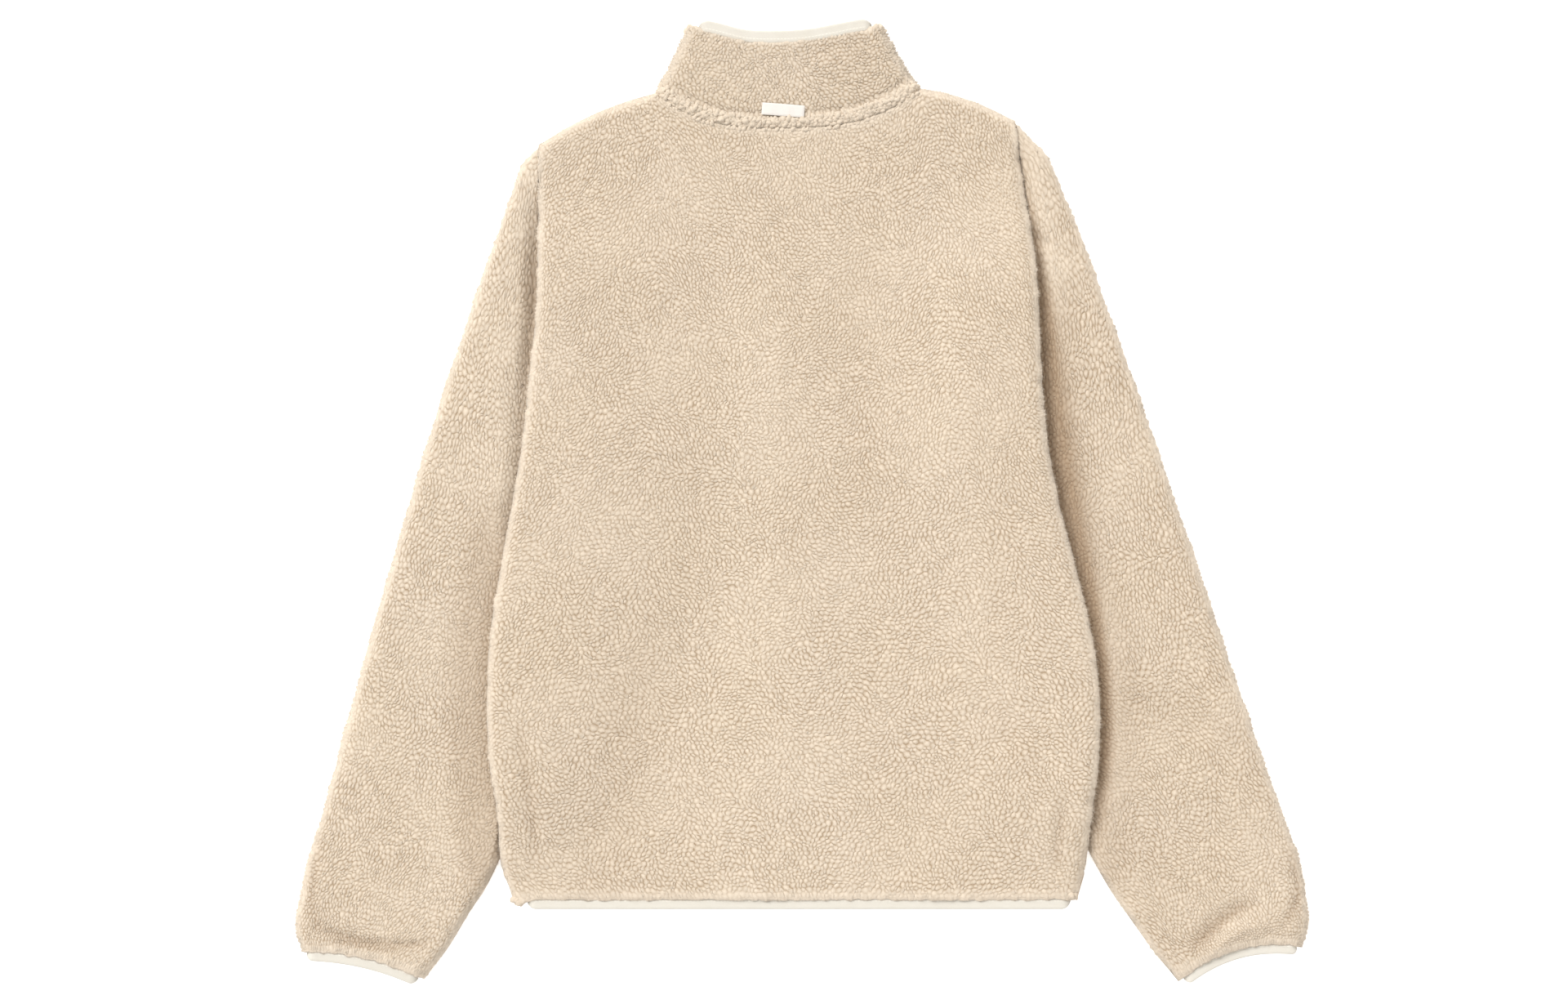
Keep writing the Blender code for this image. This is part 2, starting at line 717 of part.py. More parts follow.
def make_slider(foot):
    """The slider's plate lies under the tapes, with an arch on it that holds the pull."""
    head, wide = foot + SLIDER[1], SLIDER[0] / 2
    plate_low = CLOTH - SLIDER[2]
    half, gauge = ARCH[0] / 2, ARCH[3]
    arch_head = head - TAPE_SHORT
    arch_foot = arch_head - ARCH[1]
    arch_low = plate_low - ARCH[2]
    slider = finish("zip_slider", box((ZIP - wide, foot, plate_low), (ZIP + wide, head, CLOTH)))
    arch = [box((ZIP - half, arch_foot, arch_low), (ZIP + half, arch_head, arch_low + gauge))]
    for y in (arch_foot, arch_head - gauge):
        arch.append(box((ZIP - half, y, arch_low), (ZIP + half, y + gauge, CLOTH - gauge)))
    combine(slider, arch, "UNION")
    make_pull((arch_foot + arch_head) / 2, (arch_low + gauge + plate_low) / 2)


def make_pull(axis_y, axis_z):
    """The pull tab turns on its crossbar inside the arch, and its window lets the arch pass."""
    width, length, thick = PULL
    bar = axis_y + thick / 2
    low, high = axis_z - thick / 2, axis_z + thick / 2
    tab = box((ZIP - width / 2, bar - length, low), (ZIP + width / 2, bar, high))
    pull = finish("zip_pull", tab, origin=(ZIP, axis_y, axis_z))
    half, long = WINDOW[0] / 2, WINDOW[1]
    hole = box((ZIP - half, bar - thick - long, low - 1), (ZIP + half, bar - thick, high + 1))
    combine(pull, [hole], "DIFFERENCE")


# --- Build --------------------------------------------------------------------------------------------

make_body()
make_sleeves()
make_collar()
make_bindings()
make_label()
make_zip()

FINISHES = {
    # name:     colour,             roughness, metallic
    "fleece": ((0.76, 0.63, 0.47), 0.95, 0.0),
    "binding": ((0.87, 0.82, 0.7), 0.7, 0.0),
    "label": ((0.88, 0.83, 0.77), 0.6, 0.0),
    "tape": ((0.8, 0.72, 0.58), 0.8, 0.0),
    "teeth": ((0.85, 0.79, 0.66), 0.5, 0.0),
    "metal": ((0.72, 0.69, 0.63), 0.35, 1.0),
}
# The first of these words in an object's name gives its finish, and cloth has none of them.
WORDS = {
    "binding": "binding",
    "label": "label",
    "tape": "tape",
    "chain": "teeth",
    "box": "teeth",
    "zip": "metal",
}
for item in jacket.objects:
    chosen = next((WORDS[word] for word in WORDS if word in item.name), "fleece")
    item.data.materials.append(material(f"{item.name}_{chosen}", *FINISHES[chosen]))
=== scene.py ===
# %% [markdown]
# # A sherpa fleece jacket, laid flat on its front
#
# The real jacket is knitted cloth with a thick pile that curls into small round tufts. It lies on a
# table with its back up, its sleeves drawn down and tucked under the sides of the body. This lesson
# builds each cut-and-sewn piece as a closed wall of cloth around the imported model, gives it tufts,
# creases and loose fibres, and then adds the knitted bindings, the blank label and the zip beneath.
# Sizes are in millimetres and meshes in metres. "Left" is the wearer's left, which is towards -X.

from math import cos, pi, radians, sin

import bpy
import numpy as np
from mathutils import Matrix, Vector
from mathutils.geometry import delaunay_2d_cdt


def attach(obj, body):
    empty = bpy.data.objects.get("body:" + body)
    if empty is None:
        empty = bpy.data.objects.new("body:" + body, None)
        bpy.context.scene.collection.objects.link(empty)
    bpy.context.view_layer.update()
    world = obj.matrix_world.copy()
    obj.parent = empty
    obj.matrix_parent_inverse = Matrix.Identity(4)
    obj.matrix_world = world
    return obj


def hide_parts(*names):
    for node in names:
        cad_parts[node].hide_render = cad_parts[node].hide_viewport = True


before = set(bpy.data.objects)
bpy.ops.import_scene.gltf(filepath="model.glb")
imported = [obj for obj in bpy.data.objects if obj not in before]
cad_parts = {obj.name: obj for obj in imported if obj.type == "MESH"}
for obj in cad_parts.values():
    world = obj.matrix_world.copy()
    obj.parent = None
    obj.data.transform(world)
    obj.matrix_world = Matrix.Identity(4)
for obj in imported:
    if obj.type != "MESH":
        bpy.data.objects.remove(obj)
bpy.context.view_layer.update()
MM = 0.001

# %% [markdown]
# ## Camera
#
# The jacket is looked at from straight above, from so far that hardly anything seems to lean outwards.
# The lens is worked out from the camera's height and from how wide a strip of table it takes in.

# %% Camera
VIEW_WIDTH = 1248.0
VIEW_CENTRE = (-14.3, 0.3)
CAMERA_HEIGHT = 3000.0
SENSOR = 36.0
BACK_HEIGHT = 20.0  # about where the visible cloth lies

camera = bpy.data.objects.new("camera", bpy.data.cameras.new("camera"))
camera.data.sensor_width = SENSOR
camera.data.lens = SENSOR * (CAMERA_HEIGHT - BACK_HEIGHT) / VIEW_WIDTH
camera.data.clip_end = 100
camera.location = (VIEW_CENTRE[0] * MM, VIEW_CENTRE[1] * MM, CAMERA_HEIGHT * MM)
bpy.context.scene.collection.objects.link(camera)
bpy.context.scene.camera = camera
print(f"lens {camera.data.lens:.0f} mm at {CAMERA_HEIGHT / 1000:.1f} m")

# %% [markdown]
# ## Node trees in a few lines
#
# Every material here is a Principled shader fed by small trees of nodes. A few helpers keep those trees
# short to write: `add` adds a node and fills its inputs, and `finish_material` starts a material.

# %% Helpers for node trees
def add(tree, kind, inputs=None, **options):
    """Add a node, set its options, and fill its inputs with values or with other nodes' outputs."""
    node = tree.nodes.new(kind)
    for name, value in options.items():
        setattr(node, name, value)
    for key, value in (inputs or {}).items():
        if isinstance(value, bpy.types.NodeSocket):
            tree.links.new(value, node.inputs[key])
        else:
            node.inputs[key].default_value = value
    return node


def maths(tree, operation, *values, clamp=False):
    """A Math node's output."""
    node = add(tree, "ShaderNodeMath", dict(enumerate(values)), operation=operation, use_clamp=clamp)
    return node.outputs[0]


def blend_colours(tree, share, first, second, how="MIX"):
    """A colour between two others. Each is a colour or an output."""
    first, second = ((*colour, 1) if isinstance(colour, tuple) else colour for colour in (first, second))
    inputs = {0: share, 6: first, 7: second}
    return add(tree, "ShaderNodeMix", inputs, data_type="RGBA", blend_type=how).outputs[2]


def noise(tree, scale, detail=2.0, roughness=0.5):
    """A mottling in the object's own space, from 0 to 1."""
    where = add(tree, "ShaderNodeTexCoord").outputs["Object"]
    inputs = {"Vector": where, "Scale": scale, "Detail": detail, "Roughness": roughness}
    return add(tree, "ShaderNodeTexNoise", inputs).outputs["Fac"]


def finish_material(name, **constants):
    """A material, its node tree and its shader, with constants set on the shader's own sockets."""
    made = bpy.data.materials.new(name)
    made.use_nodes = True
    shader = made.node_tree.nodes["Principled BSDF"]
    for key, value in constants.items():
        shader.inputs[key.replace("_", " ")].default_value = value
    return made, made.node_tree, shader


def feel(tree, shader, height, distance):
    """Bump the shader's surface by a height."""
    bump = add(tree, "ShaderNodeBump", {"Height": height, "Distance": distance})
    tree.links.new(bump.outputs["Normal"], shader.inputs["Normal"])


print("helpers ready")

# %% [markdown]
# ## Light and floor
#
# Pale cloth shows its tufts only where light crosses it at a slant. One broad lamp stands at the upper
# left, half way up, and an even white surround fills the shadows. A sun lamp with a wide angle acts
# like a large softbox, and gives the same light at both sleeves.

# %% Light and floor
SUN_TURN = 128  # degrees, the side that the light comes from
SUN_RISE = 44  # degrees above the table
SUN_STRENGTH = 2.8
SUN_SOFTNESS = 40  # degrees across
FILL = 0.98  # strength of the surround
FILL_COLOUR = (1, 0.985, 0.965, 1)
FLOOR_GLOW = 0.55  # the floor is a light table, so that hardly a shadow shows round the cloth
FLOOR_HALF, FLOOR_UP = 6000.0, -0.05  # it lies just under the cloth

sun = bpy.data.objects.new("softbox", bpy.data.lights.new("softbox", "SUN"))
sun.data.energy = SUN_STRENGTH
sun.data.angle = radians(SUN_SOFTNESS)
sun.rotation_euler = (0, radians(90 - SUN_RISE), radians(SUN_TURN))
bpy.context.scene.collection.objects.link(sun)

world = bpy.data.worlds.new("surround")
world.use_nodes = True
background = world.node_tree.nodes["Background"].inputs
background["Color"].default_value = FILL_COLOUR
background["Strength"].default_value = FILL
bpy.context.scene.world = world
bpy.context.scene.view_settings.view_transform = "Standard"


def linked(name, mesh, finish=None):
    """A new object that holds a mesh, in the scene, with its finish if that is known already."""
    item = bpy.data.objects.new(name, mesh)
    bpy.context.scene.collection.objects.link(item)
    if finish:
        mesh.materials.append(finish)
    return item


def plain_mesh(name, points, faces):
    """A mesh from points in millimetres."""
    mesh = bpy.data.meshes.new(name)
    mesh.from_pydata((np.asarray(points, float) * MM).tolist(), [], faces)
    return mesh


glow = {"Base_Color": (0.9, 0.9, 0.9, 1), "Emission_Color": (1, 1, 1, 1), "Emission_Strength": FLOOR_GLOW}
light_table = finish_material("light_table", Roughness=0.9, Specular_IOR_Level=0.1, **glow)[0]
turns = ((-1, -1), (1, -1), (1, 1), (-1, 1))
corners = [(sx * FLOOR_HALF, sy * FLOOR_HALF, FLOOR_UP) for sx, sy in turns]
floor = linked("floor", plain_mesh("floor", corners, [(0, 1, 2, 3)]), light_table)
print(f"light from {SUN_TURN} degrees, {SUN_RISE} degrees up")

# %% [markdown]
# ## The jacket's lines
#
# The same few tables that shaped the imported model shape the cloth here: how far out the body reaches
# at each height, where the shoulders and the neck lie, and the stations that each sleeve runs through.

# %% Sizes of the cloth
LEFT, RIGHT = -1, 1
CLOTH = 7.0  # one layer of fleece with its pile
HOLLOW = 2.0  # room between two layers
THICK = 2 * CLOTH + HOLLOW
MID = THICK / 2
SEAM = 0.3  # gap between two pieces at a seam
PRESSED = 11.0  # thickness of a sleeve under the body
CLEAR = 0.8  # room between that sleeve and the body
HEM = -316.0
ZIP = -8.0  # the line of the front zip
OPEN = 6.0  # from that line to the edge of the cloth on either side

BODY_SIDE = {
    LEFT: (
        # up, across
        (-316, -229), (-290, -239.5), (-250, -242), (-200, -249), (-150, -250), (-100, -247), (-50, -239),
        (0, -230), (50, -222), (105, -216), (155, -211), (205, -210), (283, -210),
    ),
    RIGHT: (
        # up, across
        (-316, 219), (-290, 226), (-250, 230.3), (-200, 236), (-150, 236), (-100, 229), (-50, 217),
        (0, 204), (50, 195), (105, 190), (155, 188), (205, 184), (250, 177), (302, 170),
    ),
}
SHOULDER_TIP = {LEFT: (-211, 285.5), RIGHT: (171, 304.5)}
NECK = {LEFT: (-118, 326.5), RIGHT: (96, 330.5)}
SHOULDER_BOW = {LEFT: 5.2, RIGHT: 4.2}  # how far the middle of a shoulder curves up
BACK_DIP, BACK_ROUND = 30, 2.9  # how far the neckline falls at the back, and how square it is
FRONT_DIP, FRONT_ROUND = 66, 2.3
COLLAR_BACK_TOP = (
    # across, up
    (-91, 380.6), (-65, 374.6), (-45, 369.7), (-20, 368.7), (3, 370), (26, 374), (45, 377.6), (65.5, 380.6),
)
COLLAR_FRONT_DROP = 34  # how far the front of its top edge falls away
COLLAR_WAIST = {LEFT: 0.0, RIGHT: 1.8}  # how far each side of the collar curves in

SLEEVE = {
    LEFT: (
        # (outer fold, underarm seam) at each station, from the shoulder to the cuff
        ((-224, 270), (-141, 31)), ((-233, 244), (-142, 24)),
        ((-250.2, 197), (-146, 12)), ((-269.5, 140), (-151, -5)),
        ((-291.2, 75), (-158, -28)), ((-311.2, 10), (-168, -60)),
        ((-330.2, -55), (-181, -102)), ((-348.6, -120), (-197.5, -152)),
        ((-366.4, -185), (-214.5, -207)), ((-384.2, -250), (-233.5, -264)),
        ((-395, -285), (-249.5, -302)), ((-401, -312), (-266, -328)),
        ((-405, -338), (-283, -356)), ((-400, -357.5), (-301.5, -380)),
    ),
    RIGHT: (
        # the same
        ((193, 281), (119, 37)), ((206.8, 254), (120, 30)),
        ((226, 206), (124, 16)), ((250, 140), (131, -4)),
        ((273.5, 75), (141, -30)), ((295.6, 10), (153, -64)),
        ((318.2, -55), (168, -107)), ((340, -120), (186, -158)),
        ((362.8, -187), (204, -211)), ((385, -250), (223, -265)),
        ((397.5, -284), (243, -304)), ((402.5, -311), (262, -332)),
        ((405.2, -335), (283, -361)), ((400, -354), (300.5, -381.5)),
    ),
}
ARMPIT = {LEFT: (-140, 38), RIGHT: (118, 44)}
CUFF_BOW = {LEFT: 6, RIGHT: 12.5}  # how far up the sleeve the middle of a cuff's edge curves
TUCK_START = 232  # below this height a sleeve's upper edge turns in under the body
TUCK_CURVE = 1.3  # ever faster, by this power
ARMHOLE_TUCK = 4.0  # the cloth of a sleeve goes in under the body this far at the armhole
LEAST_TUCK = 1.5  # the two pieces' pile still meets above it
SEAM_FADE = {LEFT: (226, 254), RIGHT: (268, 296)}  # heights over which the armhole's furrow fades out
SEAM_START = (3, 30)  # distances below the shoulder's tip over which the tuck begins
LIFT_TOP = (275, 165)  # heights over which the body begins to rise over the sleeves
LIFT_FOOT = (-318, -225)  # and over which it stops near the hem
LIFT_IN = (-35, 125)  # distances past a sleeve's edge over which it eases down
PRESS_FROM, PRESS_OVER = -15, 19  # where, in from the body's edge, a sleeve starts to thin, and for how long
PRESS_NEAR = {LEFT: -2, RIGHT: -8}  # where it starts lower down
NEARER_BELOW = (-10, 60)  # and over which distances below the middle that changes
print(f"body {BODY_SIDE[RIGHT][4][1] - BODY_SIDE[LEFT][4][1]} mm wide at its widest")

# %% Reading those lines
def along(table, at):
    """The second column at places along the first, on a smooth curve through the rows."""
    x, y = np.array(table, float).T
    at = np.clip(at, x[0], x[-1])
    row = np.clip(np.searchsorted(x, at, side="right") - 1, 0, len(x) - 2)
    before = np.maximum(np.arange(len(x)) - 1, 0)
    after = np.minimum(np.arange(len(x)) + 1, len(x) - 1)
    slope = (y[after] - y[before]) / (x[after] - x[before])
    span = x[row + 1] - x[row]
    t = (at - x[row]) / span
    return (
        y[row] * (1 + 2 * t) * (1 - t) ** 2
        + y[row + 1] * t * t * (3 - 2 * t)
        + span * t * (1 - t) * (slope[row] * (1 - t) - slope[row + 1] * t)
    )


def rise(at, start, end):
    """0 at start and beyond it, 1 at end and beyond it, and a soft S between them."""
    t = np.clip((at - start) / (end - start), 0, 1)
    return t * t * (3 - 2 * t)


def fade(at, start, end):
    """The other way round: 1 at start and before it, 0 at end and beyond it."""
    return 1 - rise(at, start, end)


def mix(a, b, t):
    return a + (b - a) * t


def side_x(side, y):
    return along(BODY_SIDE[side], y)


def neckline(x, dip, squareness):
    """Height of a neckline, which falls by dip between the two neck points."""
    (left, left_up), (right, right_up) = NECK[LEFT], NECK[RIGHT]
    t = np.clip((x - left) / (right - left), 0, 1)
    return mix(left_up, right_up, t) - dip * (1 - np.abs(2 * t - 1) ** squareness)


def back_neck(x):
    return neckline(x, BACK_DIP, BACK_ROUND)


def front_neck(x):
    return neckline(x, FRONT_DIP, FRONT_ROUND)


def shoulder_y(side, x):
    (tip, tip_up), (neck, neck_up) = SHOULDER_TIP[side], NECK[side]
    t = (x - tip) / (neck - tip)
    return mix(tip_up, neck_up, t) + 4 * SHOULDER_BOW[side] * t * (1 - t)


def top_line(x, neck):
    """Height of a body panel's upper edge: shoulder, neck, shoulder."""
    line = np.where(x < NECK[LEFT][0], shoulder_y(LEFT, x), neck(x) - SEAM / 2)
    return np.where(x > NECK[RIGHT][0], shoulder_y(RIGHT, x), line)


def collar_top(x, back):
    """The collar's upper edge. Its front falls away between the two folds."""
    left, right = COLLAR_BACK_TOP[0], COLLAR_BACK_TOP[-1]
    t = np.clip((x - left[0] - MID) / (right[0] - left[0] - THICK), 0, 1)
    top = along(COLLAR_BACK_TOP, x)
    return np.where(back, top, np.minimum(top - 0.5, left[1] - COLLAR_FRONT_DROP * np.sin(pi * t) ** 2))


print(f"the neckline dips to {float(back_neck(np.array(-10.0))):.0f} mm")

# %% [markdown]
# ## How the sleeves lie under the body
#
# The sleeves are pressed thinner where the body lies on them, and the body rises over them and eases
# down again towards its middle. Both are functions of the place on the table, so the pieces agree.

# %% Where the sleeves lift the body
def armhole_x(side, y):
    """The sleeve's upper edge: beside the body at the shoulder, then turned in under it."""
    pit, pit_up = ARMPIT[side]
    most = abs(side_x(side, pit_up) - pit)
    tuck = np.maximum((TUCK_START - y) / (TUCK_START - pit_up), 0) ** TUCK_CURVE
    seam = mix(ARMHOLE_TUCK, LEAST_TUCK, rise(y, *SEAM_FADE[side]))
    seam *= rise(SHOULDER_TIP[side][1] - y, *SEAM_START)
    return side_x(side, y) - side * (seam + most * tuck)


def underarm_x(side, y):
    """How far in under the body a sleeve reaches."""
    seam = [inner[::-1] for outer, inner in reversed(SLEEVE[side])] + [ARMPIT[side][::-1]]
    return np.where(y >= ARMPIT[side][1], armhole_x(side, y), along(seam, y))


def lift(x, y):
    """How far the sleeve beneath raises the body, easing to the floor past the sleeve's edge."""
    up_and_down = rise(y, *LIFT_TOP) * rise(y, *LIFT_FOOT)
    across = [fade(side * (underarm_x(side, y) - x), *LIFT_IN) for side in (LEFT, RIGHT)]
    return (PRESSED + CLEAR) * up_and_down * np.maximum(*across)


def sleeve_thickness(side, x, y):
    """Full where the sleeve lies free and at the shoulder, and thin where the body presses on it."""
    inside = side * (side_x(side, y) - x)
    near = mix(PRESS_FROM, PRESS_NEAR[side], rise(-y, *NEARER_BELOW))
    pressed = mix(THICK, PRESSED, rise(inside, near, near + PRESS_OVER))
    fold = MID - np.clip(inside, 0, MID)
    room = np.where(inside > 0, MID - np.sqrt(MID**2 - fold**2), MID - inside)
    free = (y > SHOULDER_TIP[side][1]) | (y < HEM)
    held = np.where(free, pressed, np.minimum(pressed, lift(x, y) + room - CLEAR))
    return mix(held, THICK, rise(y, *SEAM_FADE[side]))


print(f"the body rises by up to {PRESSED + CLEAR:.1f} mm over a sleeve")

# %% [markdown]
# ## Creases placed one by one
#
# Thick fleece has few creases, so each one that shows is listed. A crease is a line through a few
# points, with a half width and a height: a ridge rises and a furrow sinks. Narrow ones are sharper.

# %% Creases
BACK_CREASES = (
    # points,                                                     half width, height
    (((-12, 230), (-18, 90), (-20, -60), (-30, -200), (-34, -420)), 85, 2.4),
    (((118, 250), (124, 150), (112, 20), (104, -80)), 46, 0.9),
    (((-100, -60), (-128, -170), (-160, -250), (-185, -330)), 48, -1.5),
    (((-228, -160), (-221, -205), (-214, -250), (-212, -300)), 9, -1.3),
    (((208, -225), (204, -270), (203, -300)), 9, -1.4),
    (((128, -150), (150, -176), (172, -206)), 24, -1.0),
    (((150, -230), (120, -300), (110, -380)), 44, 1.0),
)
SLEEVE_CREASES = {
    LEFT: (
        (((-380, -240), (-388, -290), (-391, -318), (-386, -338), (-380, -350)), 8, -1.2),
        (((-392, -330), (-376, -343), (-350, -350), (-322, -353), (-302, -352), (-290, -345)), 7, -1.8),
        (((-386, -350), (-360, -351), (-337, -356), (-310, -362)), 5, -1.2),
        (((-262, 130), (-250, 70), (-240, 20), (-228, -30)), 26, 2.2),
        (((-320, 20), (-334, -120), (-336, -240), (-330, -330)), 48, 1.5),
        (((-240, 250), (-235, 243), (-229, 236)), 8, -2.4),
    ),
    RIGHT: (
        (((386, -255), (393, -290), (396, -312), (389, -330), (380, -342)), 8, -1.4),
        (((372, -318), (350, -323), (334, -334), (320, -347), (302, -360)), 12, -2.4),
        (((378, -336), (352, -340), (336, -350), (318, -366)), 12, 2.0),
        (((180, 216), (188, 208), (202, 204)), 8, -2.4),
        (((262, 60), (300, -40), (330, -140)), 40, 1.0),
        (((250, -160), (290, -170), (330, -200)), 30, -1.3),
        (((300, -250), (345, -265), (390, -290)), 30, -1.2),
        (((300, -375), (350, -345), (398, -318)), 26, 1.8),
    ),
}
BACK_SHADE_BANDS = (  # painted shade and painted light along soft bands: darker in the cloth's troughs and paler on its ridges
    (((-44, 260), (-42, 120), (-42, -40), (-40, -200)), 32, -0.11),
    (((-30, -40), (-20, -240), (-20, -480)), 90, -0.08),
    (((42, 240), (42, 90), (52, -70)), 34, 0.06),
    (((112, 280), (112, 120), (102, -60)), 26, -0.06),
    (((158, 150), (160, -20), (150, -180)), 24, 0.04),
    (((-118, -60), (-140, -200), (-180, -420)), 42, 0.09),
    (((140, -150), (166, -185), (195, -230)), 18, 0.08),
)
# painted shade and painted light along soft bands on each sleeve
SLEEVE_SHADE_BANDS = {
    LEFT: ((((-262, 150), (-246, 80), (-224, -20)), 13, -0.09),),
    RIGHT: (
        (((240, -150), (300, -172), (390, -200)), 36, 0.07),
        (((250, -250), (300, -320)), 36, 0.05),
        (((320, -350), (360, -318), (410, -290)), 15, -0.1),
    ),
}
# painted shade and painted light along soft bands on the collar
COLLAR_SHADE_BANDS = (
    (((10, 340), (38, 356), (60, 372)), 22, 0.1),
    (((-100, 330), (-86, 372)), 22, -0.12),
)
COLLAR_CREASES = (
    (((-10, 352), (30, 366), (60, 362)), 16, -1.4),
    (((-84, 356), (-92, 336)), 12, 1.0),
)
NARROW = 12  # creases with a half width up to this come to a soft point
CREASE_END = 0.3  # the share of its length over which a crease fades out at each end


def distance_to(x, y, start, end):
    """How far points lie from the line between two others, and how far along it they are."""
    (x0, y0), (x1, y1) = start, end
    share = ((x - x0) * (x1 - x0) + (y - y0) * (y1 - y0)) / ((x1 - x0) ** 2 + (y1 - y0) ** 2)
    share = np.clip(share, 0, 1)
    return np.hypot(x - mix(x0, x1, share), y - mix(y0, y1, share)), share


def relief(x, y, creases):
    """How far the creases raise the cloth. Each fades out at its ends, and only narrow ones are sharp."""
    total = np.zeros_like(x)
    for points, half_width, height in creases:
        most = np.zeros_like(x)
        for k, (start, end) in enumerate(zip(points, points[1:])):
            away, share = distance_to(x, y, start, end)
            near = np.clip(1 - away / half_width, 0, 1)
            near = near * near * (3 - 2 * near) if half_width > NARROW else near**1.5
            done = (k + share) / (len(points) - 1)
            most = np.maximum(most, near * rise(done, 0, CREASE_END) * rise(1 - done, 0, CREASE_END))
        total += height * most
    return total


print(f"{len(BACK_CREASES)} creases on the back, {sum(map(len, SLEEVE_CREASES.values()))} on the sleeves")

# %% [markdown]
# ## Rounded edges
#
# A folded side of thick cloth is round in section. Columns of points spaced evenly across the table
# would be too far apart on that round edge, so they're spaced evenly along the cloth instead. The
# `Rolled` helper turns a distance along the cloth into a distance in from the edge.

# %% Rounded edges
def running(steps):
    """How far along each point of a line lies, from the lengths of the steps between the points."""
    return np.concatenate([[0], np.cumsum(steps)])


def xyz(x, y, z):
    """Rows of three numbers out of three columns."""
    return np.stack([x, y, z], -1)


def quarter(away, reach):
    """0 at an edge, and 1 from this reach inwards, along a quarter of an ellipse."""
    return np.sqrt(1 - (1 - np.clip(away / reach, 0, 1)) ** 2)


class Rolled:
    """A cloth edge that rolls over in a quarter of an ellipse, as high as half the jacket is thick."""

    def __init__(self, reach):
        self.reach = reach
        angle = np.linspace(0, pi / 2, 65)
        self.inward = reach * (1 - np.cos(angle))
        self.run = running(np.hypot(np.diff(self.inward), np.diff(MID * np.sin(angle))))
        self.length = self.run[-1]
        self.spare = self.length - reach  # cloth that the roll takes beyond its reach

    def inward_at(self, run):
        """Distance in from the edge, after going this far along the cloth from it."""
        return np.where(run < self.length, np.interp(run, self.run, self.inward), run - self.spare)

    def fullness(self, inward):
        """Share of the full height at a distance in from the edge."""
        return quarter(inward, self.reach)


def between(share, width, first, last):
    """Distance in from the first edge, at a share of the cloth's run between two rolled edges."""
    run_length = width + first.spare + last.spare
    run = share * run_length
    return np.where(run < run_length / 2, first.inward_at(run), width - last.inward_at(run_length - run))


SIDE_ROLL, SLEEVE_ROLL, SHOULDER_ROLL, RAW_ROLL = Rolled(12), Rolled(15), Rolled(11), Rolled(5)
print(f"a side's roll takes {SIDE_ROLL.length:.1f} mm of cloth in {SIDE_ROLL.reach} mm")

# %% [markdown]
# ## Tufts
#
# Sherpa's pile curls into tufts that press against each other like cobbles, with a fine dark crevice
# between them. A fine grid with a bumpy texture would need millions of faces to draw those crevices.
# Here each grid point is one tuft's crown instead, and every triangle between three crowns gets a pit
# at its centre. Joining pits to pits puts the mesh's own edges along the crevices, so six triangles
# draw a whole tuft. An attribute that is 1 on crowns and falls to 0 in the deepest pits lets the
# material round each one.

# %% Random numbers that change smoothly
WAVES = 12


def drift(x, y, size, seed):
    """A smooth random number, from -1 to 1, that changes over this size: a sum of waves."""
    random = np.random.default_rng(seed)
    turns, starts = random.uniform(0, pi, WAVES), random.uniform(0, 2 * pi, WAVES)
    lengths = size * random.uniform(1.8, 4.5, WAVES)
    total = 0.0
    for turn, length, start in zip(turns, lengths, starts):
        total = total + np.cos(2 * pi * (x * cos(turn) + y * sin(turn)) / length + start)
    return np.clip(0.2 * total, -1, 1)


print(f"drift at two places: {drift(np.array([0.0, 9.0]), np.array([0.0, 9.0]), 5, 1).round(2)}")

# %% A wall of tufted cloth
JITTER = 0.45  # how far a crown strays from its place, as a share of the spacing
SWAY = ((10, 0.4), (4, 0.45), (2, 0.25))  # patches of this size stray by this much, in spacings
COARSE = 6  # the plain inner face has a point for every so many tufts
FLOW_SIZE = (46, 15)  # sizes over which the pile's direction turns
FLOW_TURN = (0.8, 0.3)  # and by how many half turns
FAINT, BOLD = 0.7, 1.0  # how clear a crevice is across the flow, and along it
PATCH_SIZE = 38  # in some patches of this size every crevice is fainter
PLAINEST = 0.92  # by this factor at most
CHANCES = 9973  # so many random numbers are handed out to the crevices in turn


def crowns(columns, rows, seed):
    """Places (u, v) of the crowns, in rows that are staggered like bricks and then disturbed."""
    random = np.random.default_rng(seed)
    j, i = np.mgrid[0 : rows + 1, 0 : columns + 1].astype(float)
    places = []
    for k, (at, count) in enumerate(((i, columns), (j, rows))):
        moved = random.uniform(-JITTER, JITTER, at.shape) + (0.25 * (-1) ** (j + 1) if k == 0 else 0)
        from_edge = np.minimum(at, count - at)
        moved *= np.clip(from_edge / 2, 0, 1)
        for size, most in SWAY:
            held = np.clip(from_edge / (3 * most + 1), 0, 1)
            moved += most * drift(i, j, size, seed + 10 * k + size) * held
        places.append((at + moved) / count)
    for edge in (0, -1):
        places[0][edge].sort()
        places[1][:, edge] = np.sort(places[1][:, edge])
    return places


def tuft_faces(u, v, columns, rows):
    """The triangles between crowns, and the fans of triangles round each crown that use their pits.

    A fan triangle is (crown, pit, pit), or (crown, crown, pit) along the border.
    """
    count = len(u)
    found = delaunay_2d_cdt([Vector(p) for p in zip(u * columns, v * rows)], [], [], 0, 1e-6)
    triangles = np.array(found[2])
    start, end = triangles.ravel(), np.roll(triangles, -1, axis=1).ravel()
    face = np.repeat(np.arange(len(triangles)), 3)
    ahead, back = start * count + end, end * count + start
    order = np.argsort(ahead)
    place = np.minimum(np.searchsorted(ahead[order], back), len(order) - 1)
    shared = ahead[order][place] == back
    across = face[order][place]
    return triangles, np.stack([start, np.where(shared, across + count, end), face + count], -1)


